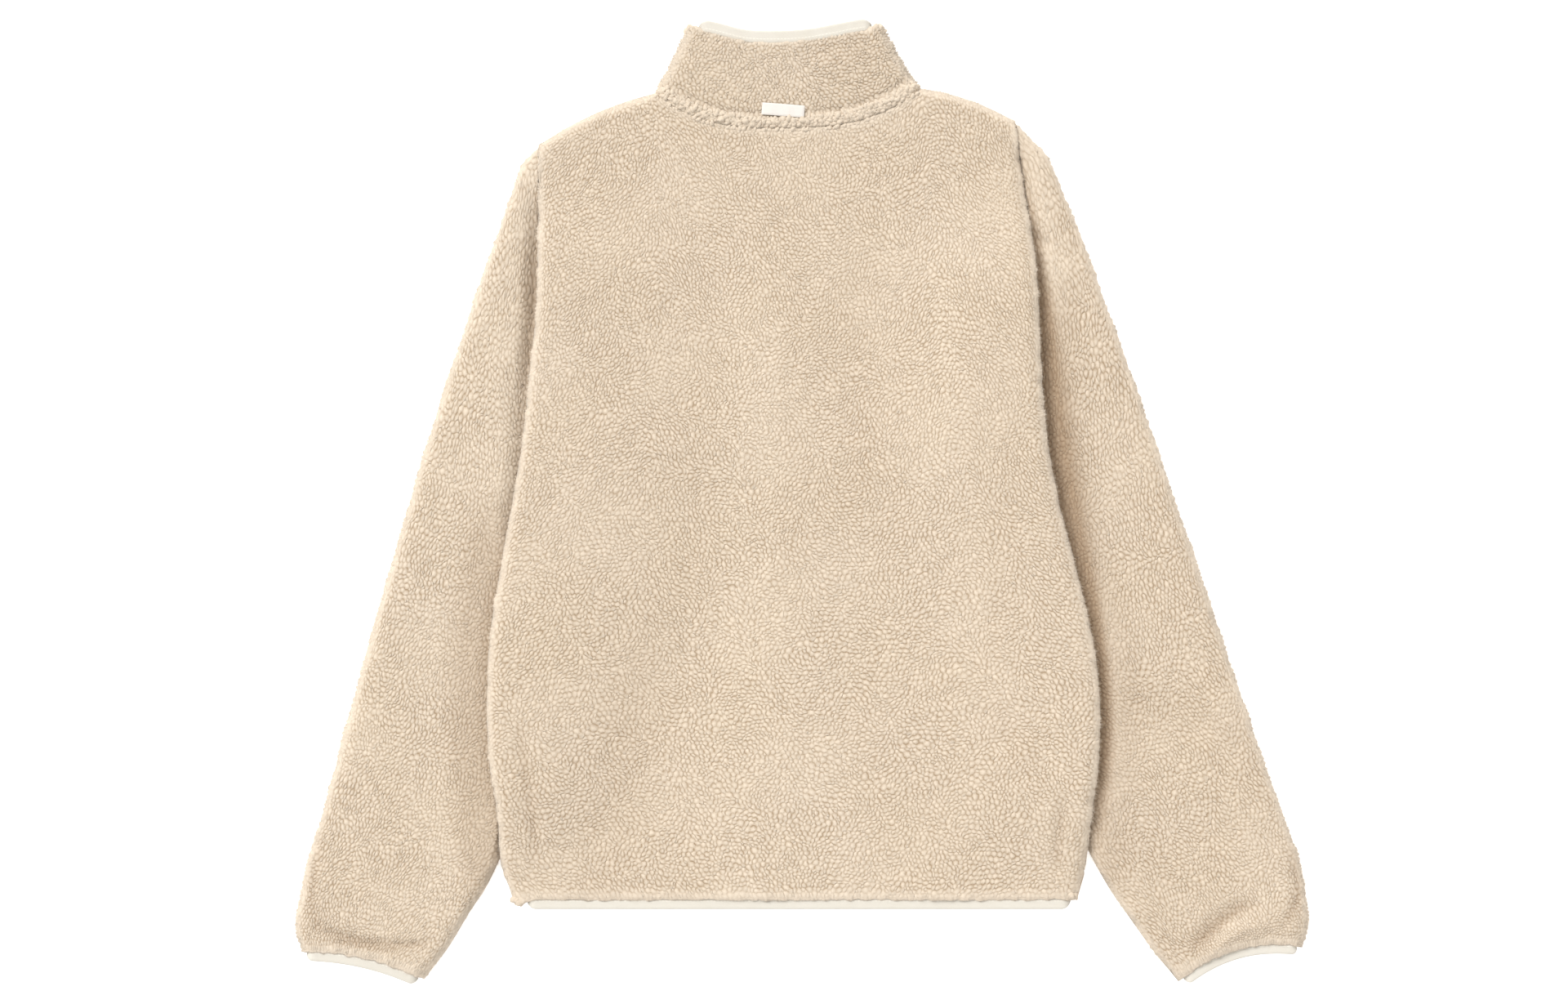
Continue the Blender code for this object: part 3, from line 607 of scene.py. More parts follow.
def clearness(points, fans, count, seed):
    """How clear the crevice along each fan triangle's outer edge is: bold along the pile's flow."""
    start, end = points[fans[:, 1]], points[fans[:, 2]]
    x, y = (start[:, axis] + end[:, axis] for axis in (0, 1))
    flow = sum(turn * pi * drift(x / 2, y / 2, size, seed + size) for size, turn in zip(FLOW_SIZE, FLOW_TURN))
    direction = np.arctan2(end[:, 1] - start[:, 1], end[:, 0] - start[:, 0])
    chance = np.random.default_rng(seed).uniform(-0.55, 0.55, CHANCES)[(fans[:, 1] + fans[:, 2]) % CHANCES]
    along_flow = np.clip(np.abs(np.cos(direction - flow)) ** 1.5 + chance, 0, 1)
    patch = mix(PLAINEST, 1, rise(drift(x / 2, y / 2, PATCH_SIZE, seed + 7), -0.7, 0.3))
    return np.where(fans[:, 1] < count, 0.5, patch * mix(FAINT, BOLD, along_flow))


def normals_of(surface, u, v, step_u, step_v, turned):
    """Unit normals of a surface by small steps along it."""
    ahead, behind = np.clip(u + step_u, 0, 1), np.clip(u - step_u, 0, 1)
    across = surface(ahead, v)[0] - surface(behind, v)[0]
    ahead, behind = np.clip(v + step_v, 0, 1), np.clip(v - step_v, 0, 1)
    normal = np.cross(across, surface(u, ahead)[0] - surface(u, behind)[0]) * turned
    return normal / np.maximum(np.linalg.norm(normal, axis=-1, keepdims=True), 1e-9)


def grid_quads(number):
    """The four-sided faces of a grid, from the numbers of its points."""
    return np.stack([number[:-1, :-1], number[:-1, 1:], number[1:, 1:], number[1:, :-1]], -1).reshape(-1, 4)


def tube_faces(rings, around, closed):
    """Four-sided faces round a tube of rings. Its ends are joined to each other, or capped."""
    number = np.arange(rings * around).reshape(rings, around)
    wound = np.column_stack([number, number[:, 0]])
    if closed:
        return grid_quads(np.concatenate([wound, wound[:1]])).tolist()
    return grid_quads(wound).tolist() + [number[0, ::-1].tolist(), number[-1].tolist()]


def border(columns, rows):
    """The numbers of a grid's border points, once round and back to the first."""
    number = np.arange((rows + 1) * (columns + 1)).reshape(rows + 1, columns + 1)
    sides = (number[0, :-1], number[:-1, -1], number[-1, :0:-1], number[:0:-1, 0])
    return np.concatenate([*sides, number[:1, 0]])


def store(mesh, name, values, domain="POINT", kind="FLOAT"):
    """Give a mesh an attribute."""
    key = "vector" if kind == "FLOAT_VECTOR" else "value"
    mesh.attributes.new(name, kind, domain).data.foreach_set(key, np.ravel(values).astype(np.float32))


def tufted(name, surface, size, tuft, turned, seed, crown=0.5, pit=-0.7):
    """A closed wall of cloth: tufts outside, a plain face inside and a rim that joins them.

    surface(u, v) gives points in millimetres, the height of the layers' middle, the side of it that
    the point is on, how far the layers stand apart there, how long the pile is (long pile also gets a
    painted pale highlight), how much painted shade it carries, and the way that the pile is combed.
    """
    columns, rows = (max(COARSE, round(s / t / COARSE) * COARSE) for s, t in zip(size, tuft))
    u, v = (grid.ravel() for grid in crowns(columns, rows, seed))
    triangles, fans = tuft_faces(u, v, columns, rows)
    count = len(u)
    u, v = (np.concatenate([p, p[triangles].mean(axis=1)]) for p in (u, v))
    points, middle, layer, apart, shag, shade, comb = surface(u, v)
    normal = normals_of(surface, u, v, 0.3 / columns, 0.3 / rows, turned)

    random = np.random.default_rng(seed + 3)
    clear = clearness(points, fans, count, seed + 4)
    depth, shares = np.zeros(len(u)), np.zeros(len(u))
    for corner in (1, 2):
        np.add.at(depth, fans[:, corner], clear)
        np.add.at(shares, fans[:, corner], 1)
    depth = depth / np.maximum(shares, 1)
    is_crown = np.arange(len(u)) < count
    height = np.where(is_crown, random.uniform(0.7, 1.0, len(u)), 1 - depth)
    x, y = u * columns, v * rows
    lumps = 0.25 * drift(x, y, 3, seed + 5) + shag * drift(x, y, 2, seed + 7)
    edge = border(columns, rows)
    offset = mix(pit, crown, height) * (1 + 0.5 * shag) + lumps * (layer > 0)
    offset[edge] = 0
    outer = points + normal * offset[:, None]
    outer[:, 2] = np.maximum(outer[:, 2], 0.05)

    kept = np.arange(count).reshape(rows + 1, columns + 1)[::COARSE, ::COARSE]
    flat = kept.ravel()
    inner = points[flat] - normal[flat] * CLOTH * np.array([1, 1, 0])
    inner[:, 2] = middle[flat] + layer[flat] * np.maximum(HOLLOW / 2 * apart[flat], SEAM / 2)
    inner[:, 2] = np.maximum(inner[:, 2], 0.1)
    inside = np.full(count, -1)
    inside[flat] = len(outer) + np.arange(len(flat))
    quads = grid_quads(inside[kept])
    lining = np.concatenate([quads[:, (0, 3, 2)], quads[:, (0, 2, 1)]])
    rim = []
    for k in range(0, len(edge) - 1, COARSE):
        stretch = edge[k : k + COARSE + 1]
        near, far = inside[stretch[0]], inside[stretch[-1]]
        rim += [(q, p, near) for p, q in zip(stretch, stretch[1:])] + [(stretch[-1], near, far)]
    faces = np.concatenate([fans, lining, np.array(rim)])
    corner_heights = np.where(fans < count, 1.0, 1 - clear[:, None])
    corner_heights = np.concatenate([corner_heights, np.full((len(faces) - len(fans), 3), 0.7)])
    tones = np.concatenate([random.uniform(0, 1, count)[fans[:, 0]], np.full(len(faces) - len(fans), 0.5)])
    if turned < 0:
        faces, corner_heights = faces[:, ::-1], corner_heights[:, ::-1]

    mesh = plain_mesh(name, np.concatenate([outer, inner]), faces.tolist())
    store(mesh, "tuft", corner_heights, "CORNER")
    store(mesh, "tone", tones, "FACE")
    for key, values in (("shag", shag), ("shade", shade)):
        store(mesh, key, np.concatenate([values * np.ones(len(u)), np.zeros(len(inner))]))
    store(mesh, "comb", np.concatenate([comb, np.zeros((len(inner), 3))]), kind="FLOAT_VECTOR")
    store(mesh, "outside", np.arange(len(faces)) < len(fans), "FACE")
    mesh.shade_smooth()
    print(f"{name}: {columns} x {rows} tufts, {len(faces)} triangles")
    return linked(name, mesh)


# %% [markdown]
# ## The back and the two fronts
#
# These are the body's three panels. Each is written as one function from a share across and a share
# up to a point on the cloth: it finds the panel's sides at that height, steps in from them along the
# cloth, and rolls the edges over. The fronts lie face down. They differ in their layer, their lower
# neckline, the straight edges beside the zip and their coarser, plainer pile.

# %% Body panels
NECK_SEAM_DEPTH = 0.6  # how far the cloth sinks into the neck seam
NECK_SEAM_REACH = 6.0
RAW_DEPTH = 3.0  # how far the pile falls away at a hem or beside the zip
HANG = 2.2  # and how far, on the side that shows, it hangs over a binding
HANG_FALL = 1.0  # how far its face falls away there
LOCK_SIZE = 2.6  # width of the locks that hang there
UNEVEN = 0.5  # the share of that hang by which locks stand out along the body's folds
CORNER_DROOP = 4.5  # the hem droops by this much at its left corner
FADED_SEAM = 0.6  # how deep the body's side folds where the armhole's furrow has faded out
BACK_BASE_SHADE = 0.05  # painted shade over the whole body, away from the bands


def scallops(along_edge, from_edge, seed):
    """How far the pile hangs past a raw edge: uneven locks, a few millimetres wide."""
    locks = 0.55 + 0.45 * drift(along_edge, 0 * along_edge, LOCK_SIZE, seed)
    return HANG * locks * fade(from_edge, 0, 7)


def shoulder_share(x):
    """1 over the shoulders, where the top edge is a fold, and 0 along the neck, where it is a seam."""
    left, right = NECK[LEFT][0], NECK[RIGHT][0]
    return 1 - rise(x, left - 6, left + 8) * fade(x, right - 8, right + 6)


def folded_side(side):
    """A folded side of the body: its line, its tip, its roll and how deep it folds at each height."""

    def depth(y):
        return mix(MID, FADED_SEAM, rise(y, *SEAM_FADE[side]))

    return (lambda y: side_x(side, y)), SHOULDER_TIP[side], SIDE_ROLL, depth


def zip_side(side):
    """The straight edge of a front beside the zip."""
    x = ZIP + side * OPEN
    top = float(top_line(np.array(float(x)), front_neck))
    return (lambda y: np.full_like(y, x)), (x, top), RAW_ROLL, (lambda y: np.full_like(y, RAW_DEPTH))


def body_surface(left, right, neck, layer):
    """The function from shares across and up a body panel to its points."""

    def from_top(v, height):
        return SHOULDER_ROLL.inward_at((1 - v) * (height + SHOULDER_ROLL.spare))

    def surface(u, v):
        first, last = (line(tip[1] - from_top(v, tip[1] - HEM)) for line, tip, _, _ in (left, right))
        width = last - first
        inward = between(u, width, left[2], right[2])
        nearest, outwards = np.minimum(inward, width - inward), np.where(inward < width / 2, -1, 1)
        x = first + inward
        top_x = mix(left[1][0], right[1][0], inward / width)
        top = top_line(top_x, neck)
        down = from_top(v, top - HEM)
        y = top - down
        full = np.ones_like(x)
        for away, (_, _, roll, depth) in ((inward, left), (width - inward, right)):
            full *= 1 - depth(y) / MID * (1 - roll.fullness(away))
        on_shoulder = shoulder_share(top_x)
        reach = mix(NECK_SEAM_REACH, SHOULDER_ROLL.reach, on_shoulder)
        depth = mix(NECK_SEAM_DEPTH, MID, on_shoulder)
        near_top = 1 - quarter(down, reach)
        full *= 1 - depth / MID * near_top
        hem_fall = (HANG_FALL if layer > 0 else RAW_DEPTH) * (1 - RAW_ROLL.fullness(y - HEM))
        if layer > 0:
            droop = CORNER_DROOP * fade(inward, 3, 17) * fade(y - HEM, 0, 14)
            y = y - scallops(x, y - HEM, 5) - droop
            x = x + outwards * UNEVEN * scallops(y, nearest, 8)
        middle = MID + lift(x, y)
        raised = relief(x, y, BACK_CREASES) * rise(full, 0.4, 1) if layer > 0 else 0
        z = middle + layer * np.maximum(MID * full - hem_fall, SEAM / 2) + raised
        # the pile is longest, and combed outwards, along the folds, the shoulders and the hem
        shag = np.maximum(fade(nearest, 1, 6), 0.75 * fade(y - HEM, 1, 9))
        shag = np.maximum(shag, fade(down, 1.5, 8) * mix(0.5, 1.0, on_shoulder))
        # painted shade through the shade attribute: darker in the two side furrows and along the neck seam, a
        # base shade all over, and darker or paler along the bands
        furrow = np.clip(-relief(x, y, BACK_CREASES[3:5]) / 3, 0, 1) + 0.2 * (1 - on_shoulder) * near_top
        shade = np.clip(0.6 * furrow + BACK_BASE_SHADE + relief(x, y, BACK_SHADE_BANDS), 0, 1)
        upwards = fade(down, 5, 18) * on_shoulder - fade(y - HEM, 2, 12)
        comb = xyz(outwards * fade(nearest, 6, 22), upwards, 0 * x)
        return xyz(x, y, z), middle, np.full_like(x, layer), full, shag, shade, comb

    return surface


TUFT = (3.4, 3.4)  # spacing of the tufts, across and along a piece
SLEEVE_TUFT = (3.1, 3.8)
UNDER_TUFT = (4.3, 4.3)  # spacing on the fronts, which face the table
LENGTH = 640  # of a body panel's cloth; these sizes give the number of tufts
left_side, right_side = folded_side(LEFT), folded_side(RIGHT)
back_surface = body_surface(left_side, right_side, back_neck, 1)
back = tufted("back", back_surface, (470, LENGTH), TUFT, turned=1, seed=10)
surface = body_surface(left_side, zip_side(LEFT), front_neck, -1)
front_left = tufted("front_left_fleece", surface, (230, LENGTH), UNDER_TUFT, turned=-1, seed=20)
surface = body_surface(zip_side(RIGHT), right_side, front_neck, -1)
front_right = tufted("front_right_fleece", surface, (225, LENGTH), UNDER_TUFT, turned=-1, seed=30)

# %% [markdown]
# ## The sleeves
#
# A sleeve is one panel wrapped round into a flat tube and sewn along the underarm. Its function runs
# round that tube, from the seam under the arm, along the under side to the outer fold, and back over
# the top, while the other share runs from the armhole down to the cuff.

# %% Sleeves
ARMHOLE_DEPTH = 3.6  # how far the cloth sinks into the armhole's seam
ARMHOLE_REACH = 9  # and over which distance from it
SLEEVE_ROUND = 350  # of cloth round a sleeve, which gives the number of tufts
EDGE_DIP = {LEFT: 3.0, RIGHT: 3.2}  # how far a sleeve dips beside the body's edge
DIP_FROM = {LEFT: (40, 120), RIGHT: (-310, -280)}  # heights over which that dip begins
DIP_UNTIL = (190, 250)  # over which it ends
DIP_ACROSS = {LEFT: (2, 22), RIGHT: (2, 16)}  # and distances outside the body over which it ends
COMBED_BESIDE = {LEFT: 0.15, RIGHT: 0.3}  # and how long and smooth its pile is there, which also paints it paler as a painted highlight
SLEEVE_BASE_SHADE = {LEFT: 0.0, RIGHT: 0.07}  # painted shade over the rest of a sleeve
# painted shadow that the raised edge of the body casts on each sleeve beside it
VALLEY_SHADE = {
    LEFT: (
        # up, width of the painted shadow beside the body's edge, how dark it is
        (-285, 16, 0.0), (-240, 16, 0.08), (-75, 14, 0.22), (-30, 10, 0.05),
        (25, 8, 0.0), (75, 9, 0.14), (100, 13, 0.4), (125, 18, 0.55),
        (175, 21, 0.6), (200, 20, 0.4), (230, 14, 0.2), (262, 10, 0.0),
    ),
    RIGHT: (
        # the same
        (-285, 16, 0.0), (-250, 16, 0.45), (-200, 14, 0.8), (-150, 13, 0.85),
        (-100, 15, 0.85), (-50, 20, 0.85), (0, 27, 0.85), (50, 28, 0.85),
        (100, 25, 0.8), (150, 16, 0.85), (200, 9, 0.8), (230, 8, 0.55),
        (262, 6, 0.1), (280, 5, 0.0),
    ),
}
BROAD = {LEFT: 0.36, RIGHT: 0.2}  # a wider, fainter painted shade beside the body
BROAD_BELOW = {LEFT: (30, -40), RIGHT: (190, 150)}  # it comes in below these heights
BROAD_ACROSS = (17, 46)  # and fades out over these distances
VALLEY_RISE = {LEFT: (0.1, 1), RIGHT: (0.3, 1.2)}  # where across its width a band fades out


def shade_beside_body(side, outside, y):
    """How dark a sleeve is painted at a distance outside the body's edge: painted shadow of the body's raised
    edge.
    """
    up, widths, depths = zip(*VALLEY_SHADE[side])
    width, depth = np.interp(y, up, widths), np.interp(y, up, depths)
    broad = BROAD[side] * rise(y, *BROAD_BELOW[side]) * fade(outside, *BROAD_ACROSS)
    return depth * fade(outside / width, *VALLEY_RISE[side]) + broad


def sleeve_surface(side):
    """The function from shares round and down a sleeve to its points, and the sleeve's size."""
    stations = ((SHOULDER_TIP[side], ARMPIT[side]), *SLEEVE[side])
    steps = np.arange(len(stations))
    lines = [
        [np.column_stack([steps, [station[end][axis] for station in stations]]) for axis in (0, 1)]
        for end in (0, 1)
    ]
    fine = np.linspace(0, steps[-1], 400)
    path = [sum(along(lines[end][axis], fine) for end in (0, 1)) / 2 for axis in (0, 1)]
    run = running(np.hypot(np.diff(path[0]), np.diff(path[1])))

    def surface(u, v):
        at = np.interp(v * run[-1], run, fine)
        (ox, oy), (ix, iy) = ([along(line, at) for line in pair] for pair in lines)
        width = np.hypot(ix - ox, iy - oy)
        layer = np.where(u > 0.5, 1.0, -1.0)
        inward = between(np.abs(2 * u - 1), width, SLEEVE_ROLL, SIDE_ROLL)
        share = inward / width
        x, y = mix(ox, ix, share), mix(oy, iy, share)
        top, pit = SHOULDER_TIP[side], ARMPIT[side]
        curve_y = mix(top[1] - 1, pit[1], share)
        at_armhole = np.clip(1 - at, 0, 1)
        x = x + at_armhole * (armhole_x(side, curve_y) - mix(top[0], pit[0], share))
        y = y + at_armhole * (curve_y - mix(top[1], pit[1], share))
        bow = CUFF_BOW[side] * 4 * share * (1 - share) * rise(at, steps[-1] - 1.6, steps[-1])
        bow = bow - scallops(inward, (1 - v) * run[-1], 6 + side) * (layer > 0)
        x = x - side * bow * np.abs(iy - oy) / width
        y = y + bow * np.abs(ix - ox) / width

        outside = -side * (side_x(side, y) - x)
        half = sleeve_thickness(side, x, y) / 2
        full = SLEEVE_ROLL.fullness(inward) * SIDE_ROLL.fullness(width - inward)
        from_armhole, from_cuff = v * run[-1], (1 - v) * run[-1]
        free = rise(outside, -6, 4) * (y < top[1]) + (y >= top[1]) + (y <= HEM)
        free = np.clip(free, 0, 1) * (layer > 0)
        beside = rise(y, *DIP_FROM[side]) * fade(y, *DIP_UNTIL) * fade(outside, *DIP_ACROSS[side])
        z = half + layer * np.maximum(half * full, SEAM / 2 * (share > 0.5))
        z = z - free * rise(full, 0.3, 1) * EDGE_DIP[side] * beside
        seam = 1 - quarter(from_armhole, ARMHOLE_REACH)
        z = z - free * ARMHOLE_DEPTH * full * seam * (1 - 0.9 * rise(y, *SEAM_FADE[side]))
        raw = np.where(layer > 0, HANG_FALL, RAW_DEPTH)
        z = z - layer * raw * full * (1 - RAW_ROLL.fullness(from_cuff))
        creases = relief(x, y, SLEEVE_CREASES[side]) * free * rise(full, 0.2, 0.9)
        z = np.maximum(z + creases, half + layer * SEAM / 2 * (share > 0.5)) * (layer > 0) + z * (layer < 0)
        # the pile is longest along both folds and at the cuff, where it is combed outwards, and beside
        # the body it is combed in towards the body
        shag = np.maximum(fade(inward, 1.5, 7), fade(width - inward, 1.5, 6))
        shag = np.maximum(shag, 0.8 * fade(from_cuff, 1, 10))
        shag = np.maximum(shag, COMBED_BESIDE[side] * fade(outside, 10, 34) * free)
        # painted shade through the shade attribute: beside the body, over the whole sleeve, along the bands
        # and in the cuff's creases
        deep = shade_beside_body(side, outside, y) * free + SLEEVE_BASE_SHADE[side] + relief(x, y, SLEEVE_SHADE_BANDS[side])
        furrow = np.clip(-relief(x, y, SLEEVE_CREASES[side][:3]) / 4, 0, 0.6) * free
        outward = fade(inward, 6, 20) - fade(width - inward, 5, 14)
        across = (ox - ix) / width * outward - side * 0.9 * fade(outside, 6, 30) * free
        comb = xyz(across, (oy - iy) / width * outward - fade(from_cuff, 2, 12), 0 * x)
        return xyz(x, y, z), half, layer, full, shag, np.clip(deep + furrow, 0, 1), comb

    return surface, (SLEEVE_ROUND, run[-1])


sleeves = {}
for side, name, seed in ((LEFT, "sleeve_left_fleece", 40), (RIGHT, "sleeve_right_fleece", 50)):
    surface, size = sleeve_surface(side)
    sleeves[side] = tufted(name, surface, size, SLEEVE_TUFT, turned=side, seed=seed, pit=-1.0)

# %% [markdown]
# ## The collar
#
# The collar stands up in wear and lies folded flat here, so it is another flat tube, open at the front
# where the zip ends. Just above the neck seam its allowance makes a plump roll, with a second furrow
# along the top of the roll.

# %% Collar
SLIT = (ZIP - OPEN, ZIP + OPEN)
ROLL_HEIGHT = 11.5  # from the neck seam to the furrow above the plump roll
ROLL_FURROW, ROLL_RISE = 1.3, 1.0  # how deep that furrow is, and how far the roll stands out
COLLAR_TUFT = (3.2, 3.3)


def collar_surface(u, v):
    """The function from shares round and up the collar to its points."""
    base_low, base_high = NECK[LEFT][0], NECK[RIGHT][0]
    top_low, top_high = COLLAR_BACK_TOP[0][0], COLLAR_BACK_TOP[-1][0]
    waist = 4 * v * (1 - v)
    low = mix(base_low, top_low, v) + COLLAR_WAIST[LEFT] * waist
    high = mix(base_high, top_high, v) - COLLAR_WAIST[RIGHT] * waist
    roll = SIDE_ROLL
    over = high - low + 2 * roll.spare  # cloth along the back, from fold to fold
    first, last = high - SLIT[1] + roll.spare, SLIT[0] - low + roll.spare
    run = u * (first + over + last)
    back_layer = (run > first) & (run < first + over)
    on_back = between(np.clip((run - first) / over, 0, 1), high - low, roll, roll)
    x = np.where(back_layer, high - on_back, high - roll.inward_at(np.abs(first - run)))
    x = np.where(run >= first + over, low + roll.inward_at(np.abs(run - first - over)), x)
    layer = np.where(back_layer, 1.0, -1.0)
    share = (x - low) / (high - low)
    base_x, top_x = mix(base_low, base_high, share), mix(top_low, top_high, share)
    foot = np.where(back_layer, back_neck(base_x), front_neck(base_x)) + SEAM / 2
    head = collar_top(top_x, back_layer)
    y = mix(foot, head, v)
    full = roll.fullness(x - low) * roll.fullness(high - x)
    beside_slit = np.where(back_layer, 1e3, np.where(x > ZIP, x - SLIT[1], SLIT[0] - x))
    from_foot, from_head = y - foot, head - y
    seam = 1 - quarter(from_foot, NECK_SEAM_REACH)
    fall = NECK_SEAM_DEPTH * seam + RAW_DEPTH * (1 - RAW_ROLL.fullness(from_head))
    fall = fall + RAW_DEPTH * (1 - RAW_ROLL.fullness(beside_slit))
    furrow = np.clip(1 - np.abs(from_foot - ROLL_HEIGHT) / 4, 0, 1) ** 1.5
    plump = np.sin(np.clip(from_foot / ROLL_HEIGHT, 0, 1) * pi)
    shape = (ROLL_RISE * plump - ROLL_FURROW * furrow + relief(x, y, COLLAR_CREASES)) * back_layer
    z = MID + layer * np.maximum(MID * full - fall * full, 0) + shape * rise(full, 0.3, 1)
    y = y + 0.5 * scallops(x, from_head, 9) * back_layer
    # the pile is longest along the folds, at the binding and on the plump roll
    shag = np.maximum(fade(np.minimum(x - low, high - x), 2, 9), 0.7 * fade(from_head, 1, 6))
    shag = np.maximum(shag, 0.45 * rise(ROLL_HEIGHT + 3 - from_foot, 0, 4) * back_layer)
    # painted shade along the neck seam, in the furrow above the roll and along the bands
    shade = np.clip(0.1 * seam + 0.15 * furrow + relief(x, y, COLLAR_SHADE_BANDS), 0, 1)
    comb = xyz(fade(high - x, 4, 14) - fade(x - low, 4, 14), fade(from_head, 2, 10), 0 * x)
    return xyz(x, y, z), np.full_like(x, MID), layer, full, shag, shade, comb


bold = {"crown": 0.9, "pit": -1.7}  # the collar's tufts stand out more
collar = tufted("collar_fleece", collar_surface, (400, 74), COLLAR_TUFT, turned=-1, seed=60, **bold)

# %% [markdown]
# ## The fleece's finish
#
# Fleece is warm cream on its crowns, and its crevices are painted browner as painted shade, where the
# pile shadows itself. The crown attribute rounds every tuft with a bump, a fine noise stands for single
# curled fibres, and sheen lightens the cloth where it turns away, as a fuzzy surface does.

# %% Fleece material
CROWN_WARM = (0.622, 0.528, 0.412)
CROWN_PINK = (0.626, 0.540, 0.443)
# painted shade: the colour that the crevices between tufts are painted, where the pile shadows itself
CREVICE_SHADE = (0.30, 0.215, 0.135)
# painted highlight: the paler colour that long pile along the edges is painted, standing in for light caught
# at the rolled edges
RIM_HIGHLIGHT = (0.67, 0.59, 0.49)
SHADOWED = (0.49, 0.395, 0.305)  # what a shaded place multiplies its colour by
ROUNDING = 0.0004  # metres that the bump adds between a crevice and a crown
CREVICE_SHARPNESS = 2.0  # how soon the painted crevice shade fades on the way up to a crown


def attribute(tree, name):
    """What a surface says about itself under this name."""
    return add(tree, "ShaderNodeAttribute", attribute_name=name, attribute_type="GEOMETRY").outputs["Fac"]


def fleece_material():
    sheen = {"Sheen_Weight": 0.35, "Sheen_Roughness": 0.5, "Sheen_Tint": (1.0, 0.93, 0.86, 1)}
    made, tree, shader = finish_material("sherpa_fleece", Roughness=0.95, Specular_IOR_Level=0.15, **sheen)
    tuft, tone, shade, shag = (attribute(tree, name) for name in ("tuft", "tone", "shade", "shag"))
    warm = blend_colours(tree, noise(tree, 14.0, 3.0), CROWN_WARM, CROWN_PINK)
    curls = noise(tree, 900.0, 3.0, 0.6)
    uneven = maths(tree, "SUBTRACT", curls, 0.5)
    value = maths(tree, "MULTIPLY_ADD", tone, 0.09, 0.95)
    value = maths(tree, "MULTIPLY_ADD", uneven, 0.25, value)
    varied = add(tree, "ShaderNodeHueSaturation", {"Color": warm, "Value": value}).outputs[0]
    filled = maths(tree, "MULTIPLY_ADD", shag, -0.4, 1.0)
    depth = maths(tree, "MULTIPLY", maths(tree, "SUBTRACT", 1.0, tuft), filled)
    ragged = maths(tree, "MULTIPLY_ADD", uneven, -0.3, depth)
    darkness = maths(tree, "POWER", maths(tree, "MAXIMUM", ragged, 0.0), CREVICE_SHARPNESS, clamp=True)
    # painted shade in each crevice, deepest in the pits
    colour = blend_colours(tree, darkness, varied, CREVICE_SHADE)
    # painted highlight: long pile along the folds, edges and hem is painted paler
    colour = blend_colours(tree, maths(tree, "MULTIPLY", shag, 0.4), colour, RIM_HIGHLIGHT)
    colour = blend_colours(tree, maths(tree, "MULTIPLY", shade, 0.85), colour, SHADOWED, "MULTIPLY")
    tree.links.new(colour, shader.inputs["Base Color"])
    domed = maths(tree, "SINE", maths(tree, "MULTIPLY_ADD", depth, -pi / 2, pi / 2))
    feel(tree, shader, maths(tree, "MULTIPLY_ADD", curls, 0.6, domed), ROUNDING)
    return made


fleece = fleece_material()
cloth = (back, front_left, front_right, *sleeves.values(), collar)
for piece in cloth:
    piece.data.materials.append(fleece)
print("fleece finished")

# %% [markdown]
# ## Loose fibres
#
# Along an outline the pile stands out as fine fibres, and they soften every edge. Geometry Nodes
# scatters one small curved blade over the cloth: more of them where the pile is long, leaning from the
# surface towards the way the pile is combed, each with its own length and turn.

# %% Tools for Geometry Nodes
def new_tree(name, **inputs):
    """A node tree with a geometry input, these named inputs, and a geometry output."""
    tree = bpy.data.node_groups.new(name, "GeometryNodeTree")
    tree.interface.new_socket("Geometry", in_out="OUTPUT", socket_type="NodeSocketGeometry")
    tree.interface.new_socket("Geometry", in_out="INPUT", socket_type="NodeSocketGeometry")
    for label, kind in inputs.items():
        tree.interface.new_socket(label, in_out="INPUT", socket_type=f"NodeSocket{kind}")
    return tree, tree.nodes.new("NodeGroupInput").outputs, tree.nodes.new("NodeGroupOutput").inputs[0]


def field(tree, name, kind="FLOAT"):
    """Read a named attribute."""
    node = add(tree, "GeometryNodeInputNamedAttribute", {"Name": name}, data_type=kind)
    return node.outputs["Attribute"]


def random_between(tree, low, high, seed):
    """A random number for each place."""
    inputs = {2: low, 3: high, "Seed": seed}
    return add(tree, "FunctionNodeRandomValue", inputs, data_type="FLOAT").outputs[1]


def plus(tree, first, second, factor):
    """The first vector plus so many times the second."""
    scaled = add(tree, "ShaderNodeVectorMath", {0: second, "Scale": factor}, operation="SCALE")
    return add(tree, "ShaderNodeVectorMath", {0: first, 1: scaled.outputs[0]}, operation="ADD").outputs[0]


def turned_towards(tree, direction, roll_seed):
    """A rotation whose Z points this way, with a random roll about it."""
    aim = add(tree, "FunctionNodeAlignRotationToVector", {"Vector": direction}, axis="Z")
    inputs = {"Axis": (0, 0, 1), "Angle": random_between(tree, -pi, pi, roll_seed)}
    spin = add(tree, "FunctionNodeAxisAngleToRotation", inputs)
    inputs = {"Rotation": aim.outputs[0], "Rotate By": spin.outputs[0]}
    return add(tree, "FunctionNodeRotateRotation", inputs, rotation_space="LOCAL").outputs[0]


def end_tree(tree, points, part, rotation, size, material, out):
    """Set one object at these points, make it real geometry and give it its material."""
    scale = add(tree, "ShaderNodeCombineXYZ", dict(zip("XYZ", size))).outputs[0]
    part = add(tree, "GeometryNodeObjectInfo", {"Object": part}).outputs["Geometry"]
    inputs = {"Points": points, "Instance": part, "Rotation": rotation, "Scale": scale}
    placed = add(tree, "GeometryNodeInstanceOnPoints", inputs).outputs[0]
    real = add(tree, "GeometryNodeRealizeInstances", {"Geometry": placed}).outputs[0]
    done = add(tree, "GeometryNodeSetMaterial", {"Geometry": real, "Material": material})
    tree.links.new(done.outputs[0], out)
    return tree


